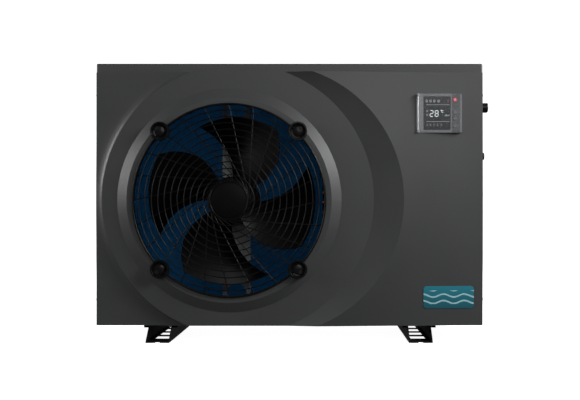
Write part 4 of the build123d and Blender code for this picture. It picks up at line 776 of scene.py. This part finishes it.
@dataclass
class Controller:
    """Marks on the display glass and the keys, and the ribs on the bezel's hinge band."""

    shift: float = -5.0 * MM
    level: float = 14.0 * MM
    recess: float = 0.5 * MM
    stroke: float = 1.4 * MM
    thin: float = 0.8 * MM
    raise_mark: float = 0.15 * MM
    digit_size: tuple[float, float] = (6.9 * MM, 13.6 * MM)
    digit_level: float = -0.8 * MM
    digits: tuple[tuple[int, float], ...] = ((2, -12.6 * MM), (8, -1.0 * MM))
    top_icons: tuple[float, ...] = (-23.9 * MM, -15.0 * MM, -6.3 * MM, 3.7 * MM)
    low_icons: tuple[float, ...] = (-22.7 * MM, -15.0 * MM, -7.2 * MM, 1.4 * MM, 9.7 * MM)
    rule: tuple[float, float] = (2.0 * MM, 54.0 * MM)
    rule_level: float = 19.5 * MM
    icon_level: float = 28.6 * MM

    def place(self) -> None:
        """Find the controller's face in the frame."""
        self.centre = middle("controller_frame")
        self.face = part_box("lid")[0][1] - self.level
        self.x = self.centre.x + self.shift
        self.z = self.centre.z

    def bar(self, x: float, z: float, width: float, height: float) -> bpy.types.Object:
        """Small raised mark on the glass, about the window's centre."""
        front = self.face + self.recess - self.raise_mark
        low = (self.x + x - width / 2, front, self.z + z - height / 2)
        high = (self.x + x + width / 2, front + self.raise_mark * 1.5, self.z + z + height / 2)
        return Bench.slab(low, high, min(width, height) * 0.2)

    def digit(self, number: int, x: float) -> list[bpy.types.Object]:
        """Strokes of one digit, centred at a distance from the window's centre."""
        width, height = self.digit_size
        strokes = []
        for segment in DIGITS[number]:
            across, up, flat = segment.value
            long = width - self.stroke * 1.2 if flat else height / 2 - self.stroke * 1.2
            size = (long, self.stroke) if flat else (self.stroke, long)
            level = self.digit_level + (up - 0.5) * height
            strokes.append(self.bar(x + (across - 0.5) * width, level, *size))
        return strokes

    def ring(self, x: float, z: float, radius: float) -> bpy.types.Object:
        """Small round outline on the glass."""
        return Bench.hoop((self.x + x, self.face + self.recess, self.z + z), radius, self.thin, 20)

    def degrees(self) -> list[bpy.types.Object]:
        """Small ring and open square of the temperature unit."""
        x, z, size, stroke = 12.2 * MM, 4.0 * MM, 4.6 * MM, self.thin
        marks = [self.ring(x - 2.6 * MM, z + size / 2, 0.9 * MM), self.bar(x - size / 4, z, stroke, size)]
        for end in (-1, 1):
            marks.append(self.bar(x + size / 6, z + end * size / 2, size * 0.8, stroke))
        return marks

    def icons(self) -> list[bpy.types.Object]:
        """Mode icons in the top row, the small marks beside the digits and the two rules."""
        marks = [self.bar(self.rule[0], side * self.rule_level, self.rule[1], self.thin) for side in (-1, 1)]
        for index, x in enumerate(self.top_icons):
            marks.append(self.ring(x, self.icon_level, 2.3 * MM))
            size = (4.6 * MM, self.thin) if index % 2 else (self.thin, 5.4 * MM)
            marks.append(self.bar(x, self.icon_level, *size))
            marks.append(self.bar(x, self.icon_level - 3.0 * MM, 4.6 * MM, self.thin))
        for z in (4.6 * MM, -4.0 * MM):
            marks.append(self.ring(-23.0 * MM, z, 1.5 * MM))
        blades = [self.bar(19.0 * MM + step * 3.0 * MM, -6.0 * MM + (step % 2) * 1.6 * MM, 2.8 * MM, 1.4 * MM)
                  for step in range(4)]
        return marks + blades + [self.ring(21.5 * MM, -4.4 * MM, 1.6 * MM)]

    def faint(self) -> list[bpy.types.Object]:
        """Bottom row of dim marks."""
        marks = []
        for x in self.low_icons:
            for z in (-29.4 * MM, -27.2 * MM, -25.0 * MM):
                marks.append(self.bar(x, z, 4.4 * MM, self.thin))
            marks.append(self.bar(x, -27.2 * MM, self.thin, 4.4 * MM))
        return marks

    def ribs(self) -> bpy.types.Object:
        """Three short ribs low on the bezel's hinge band."""
        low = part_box("controller_frame")[0]
        made = []
        for step in range(3):
            x = low[0] + (5.2 + step * 3.6) * MM
            made.append(Bench.slab((x, self.face - 0.7 * MM, low[2] + 2.0 * MM),
                                   (x + 1.4 * MM, self.face + 0.2 * MM, low[2] + 11.0 * MM), 0.3 * MM))
        return Bench.joined(made, "ribs")

    def key_marks(self) -> None:
        """Printed mark on each key, riding on it."""
        for name, turn in (("up", 1), ("down", -1)):
            spot, front = middle("key_" + name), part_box("key_" + name)[0][1]
            strokes = []
            for side in (-1, 1):
                tip = (spot.x, front, spot.z + turn * 1.2 * MM)
                tail = (spot.x + side * 2.2 * MM, front, spot.z - turn * 1.0 * MM)
                strokes.append(Bench.wire((tip, tail), 0.6 * MM))
            fit(Bench.joined(strokes, name), "mark_" + name, f"key_{name}_cap", "key_grey", Finish.PRINT)
        spot, front = middle("key_set"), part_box("key_set")[0][1]
        ring = Bench.hoop((spot.x, front, spot.z), 1.7 * MM, 0.6 * MM, 24)
        fit(ring, "mark_set", "key_set_cap", "key_grey", Finish.PRINT)
        spot, front = middle("key_power"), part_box("key_power")[0][1]
        ring = Bench.hoop((spot.x, front, spot.z), 2.1 * MM, 0.9 * MM, 24)
        stem = Bench.wire(((spot.x, front, spot.z), (spot.x, front, spot.z + 2.6 * MM)), 0.9 * MM)
        fit(Bench.joined([ring, stem], "power"), "mark_power", "key_power_cap", "key_red", Finish.SYMBOL)

    def build(self) -> None:
        """Model, paint and mount the marks."""
        self.place()
        bright = [stroke for number, x in self.digits for stroke in self.digit(number, x)] + self.degrees()
        groups = (("display_digits", bright, Finish.SEGMENT), ("display_icons", self.icons(), Finish.ICON),
                  ("display_faint_marks", self.faint(), Finish.FAINT),
                  ("display_alarm_mark", [self.ring(26.0 * MM, self.icon_level, 2.0 * MM)], Finish.WARM))
        for name, marks, finish in groups:
            fit(Bench.joined(marks, name), name, "cabinet", "display_glass", finish)
        fit(self.ribs(), "bezel_ribs", "cabinet", "bezel_grey", Finish.RIB)
        self.key_marks()


class Panels:
    """CAD nodes that keep their shape, grouped by finish."""

    groups: dict[Finish, tuple[str, ...]] = {
        Finish.SHELL: ("front_panel",),
        Finish.STEEL: ("lid", "left_side_grille", "right_side_panel", "rear_coil_guard", "rear_panel",
                       "partition"),
        Finish.FOOT: ("foot_left", "foot_right"),
        Finish.BLACK: ("electric_box", "compressor", "accumulator", "guard_screws"),
        Finish.BLADE: ("fan_impeller", "fan_orifice", "fan_nut"),
        Finish.GLOSS: ("cable_glands",),
        Finish.MATTE: ("terminal_cover", "union_nuts", "drain_spout", "flow_switch", "terminal_block"),
        Finish.ZINC: ("base_pan", "mounting_bolts", "motor_bolts", "motor_mast", "evaporator_plates",
                      "hinge_pin", "casing_screws"),
        Finish.GROUND: ("motor_shaft", "motor_bearings", "motor_rotor"),
        Finish.MOTOR: ("motor_housing",),
        Finish.COPPER: ("evaporator_bends", "discharge_pipe", "suction_pipe", "gas_pipes", "liquid_pipes",
                        "filter_drier"),
        Finish.BRASS: ("four_way_valve", "expansion_valve"),
        Finish.RUBBER: ("rubber_mounts",),
        Finish.PIPEWORK: ("exchanger_shell", "exchanger_cap", "water_pipes", "water_unions"),
        Finish.TITANIUM: ("titanium_coil",),
        Finish.BOARD: ("control_board",),
        Finish.GLASS: ("controller_display",),
        Finish.COVER: ("controller_cover",),
        Finish.POWER: ("key_power",),
        Finish.KEY: ("key_up", "key_down", "key_set"),
    }

    def build(self) -> None:
        """Paint every CAD node that stays visible."""
        for finish, nodes in self.groups.items():
            for node in nodes:
                dress(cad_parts[node], material(finish))
            LOG.info("%s on %d CAD nodes", finish.name, len(nodes))
        plate = WavePlate("name plate", (0.010, 0.13, 0.17), (0.28, 0.46, 0.50), tuple(middle("name_plate")))
        dress(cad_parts["name_plate"], plate.build())
        left, right = (corner[0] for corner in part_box("controller_frame"))
        # The second colour is a painted highlight on the hinge band; the third is the darker key strip.
        bezel = Bezel("grey bezel", (0.135, 0.14, 0.145), (0.17, 0.175, 0.18), (0.062, 0.065, 0.068),
                      left, right)
        dress(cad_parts["controller_frame"], bezel.build())


# Studio

@dataclass
class Studio:
    """Pale floor and round backdrop, soft lights and the camera."""

    eye: Point = (0.0745, -2.515, 0.295)
    lens: float = 62.07
    shift: tuple[float, float] = (-0.0543, 0.0259)
    world: float = 0.10
    aim: Point = (0.0, -0.2, 0.33)
    fin_power: float = 9.0
    reach: float = 6.0
    backdrop: float = 14.0
    floor_gap: float = 0.5 * MM

    def build(self) -> None:
        """Set everything up."""
        self.camera()
        self.surfaces()
        self.light("key", (2.1, -1.15, 1.5), 1.0, 88.0)
        self.light("left", (-2.4, -0.9, 1.0), 0.9, 36.0)
        self.light("front", (0.6, -3.2, 1.5), 1.6, 14.0)
        self.light("back", (0.4, 2.6, 2.2), 1.8, 60.0)
        self.only(self.light("fins", (-0.1, -2.4, 0.9), 1.0, self.fin_power), "fins_rear", "fins_side",
                  "coil_tubes_rear", "coil_tubes_side")
        world = bpy.data.worlds.new("studio")
        world.use_nodes = True
        world.node_tree.nodes["Background"].inputs[0].default_value = (1.0, 1.0, 1.0, 1.0)
        world.node_tree.nodes["Background"].inputs[1].default_value = self.world
        bpy.context.scene.world = world
        bpy.context.scene.view_settings.view_transform = "Standard"

    def camera(self) -> None:
        """Level camera in front of the unit, a little right of its middle."""
        lens = bpy.data.cameras.new("camera")
        lens.lens = self.lens
        lens.sensor_width = 36.0
        lens.shift_x, lens.shift_y = self.shift
        camera = bpy.data.objects.new("camera", lens)
        camera.location = self.eye
        camera.rotation_euler = (math.pi / 2, 0, 0)
        bpy.context.collection.objects.link(camera)
        bpy.context.scene.camera = camera

    def only(self, holder: bpy.types.Object, *names: str) -> None:
        """Let a lamp light, and be shaded by, only the named pieces."""
        group = bpy.data.collections.new(holder.name)
        for name in names:
            group.objects.link(bpy.data.objects[name])
        holder.light_linking.receiver_collection = group
        holder.light_linking.blocker_collection = group

    def light(self, name: str, spot: Point, size: float, power: float) -> bpy.types.Object:
        """Square soft light aimed at the cabinet's middle.

        Args:
            name: the light's name.
            spot: where it hangs.
            size: its edge, in metres.
            power: its power, in watts.

        Returns:
            The lamp's object.
        """
        lamp = bpy.data.lights.new(name, "AREA")
        lamp.size = size
        lamp.energy = power
        holder = bpy.data.objects.new(name, lamp)
        holder.location = spot
        aim = Vector(self.aim) - Vector(spot)
        holder.rotation_euler = aim.to_track_quat("-Z", "Y").to_euler()
        bpy.context.collection.objects.link(holder)
        return holder

    def surfaces(self) -> None:
        """Pale floor and a round backdrop that light nothing but themselves."""
        Bench.clear()
        spot = (0, 0, -self.floor_gap)
        bpy.ops.mesh.primitive_circle_add(vertices=64, radius=self.reach, fill_type="NGON", location=spot)
        self.stage_piece("floor", 0.96)
        Bench.clear()
        bpy.ops.mesh.primitive_cylinder_add(vertices=64, radius=self.reach, depth=self.backdrop,
                                            end_fill_type="NOTHING")
        self.stage_piece("backdrop", 1.0)

    @staticmethod
    def stage_piece(name: str, glow: float) -> None:
        """Finish the active object as a bright white surface of the studio.

        Args:
            name: its name.
            glow: how bright it is by itself.
        """
        piece = bpy.context.object
        bpy.ops.object.transform_apply(location=True, rotation=True, scale=True)
        piece.name = name
        piece.visible_diffuse = False
        piece.visible_glossy = False
        paint = Paint("studio " + name)
        paint.set(Base_Color=(0.85, 0.85, 0.85), Roughness=0.9, Emission_Color=(1.0, 1.0, 1.0))
        paint.shader.inputs["Emission Strength"].default_value = glow
        dress(piece, paint.material)


def main() -> None:
    """Build the studio, the fine pieces and the finishes."""
    logging.basicConfig(level=logging.INFO)
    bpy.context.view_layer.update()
    for assembly in (Guard(), Evaporator(), Controller(), Panels(), Studio()):
        assembly.build()
        LOG.info("%s done", type(assembly).__name__)


if __name__ == "__main__":
    main()
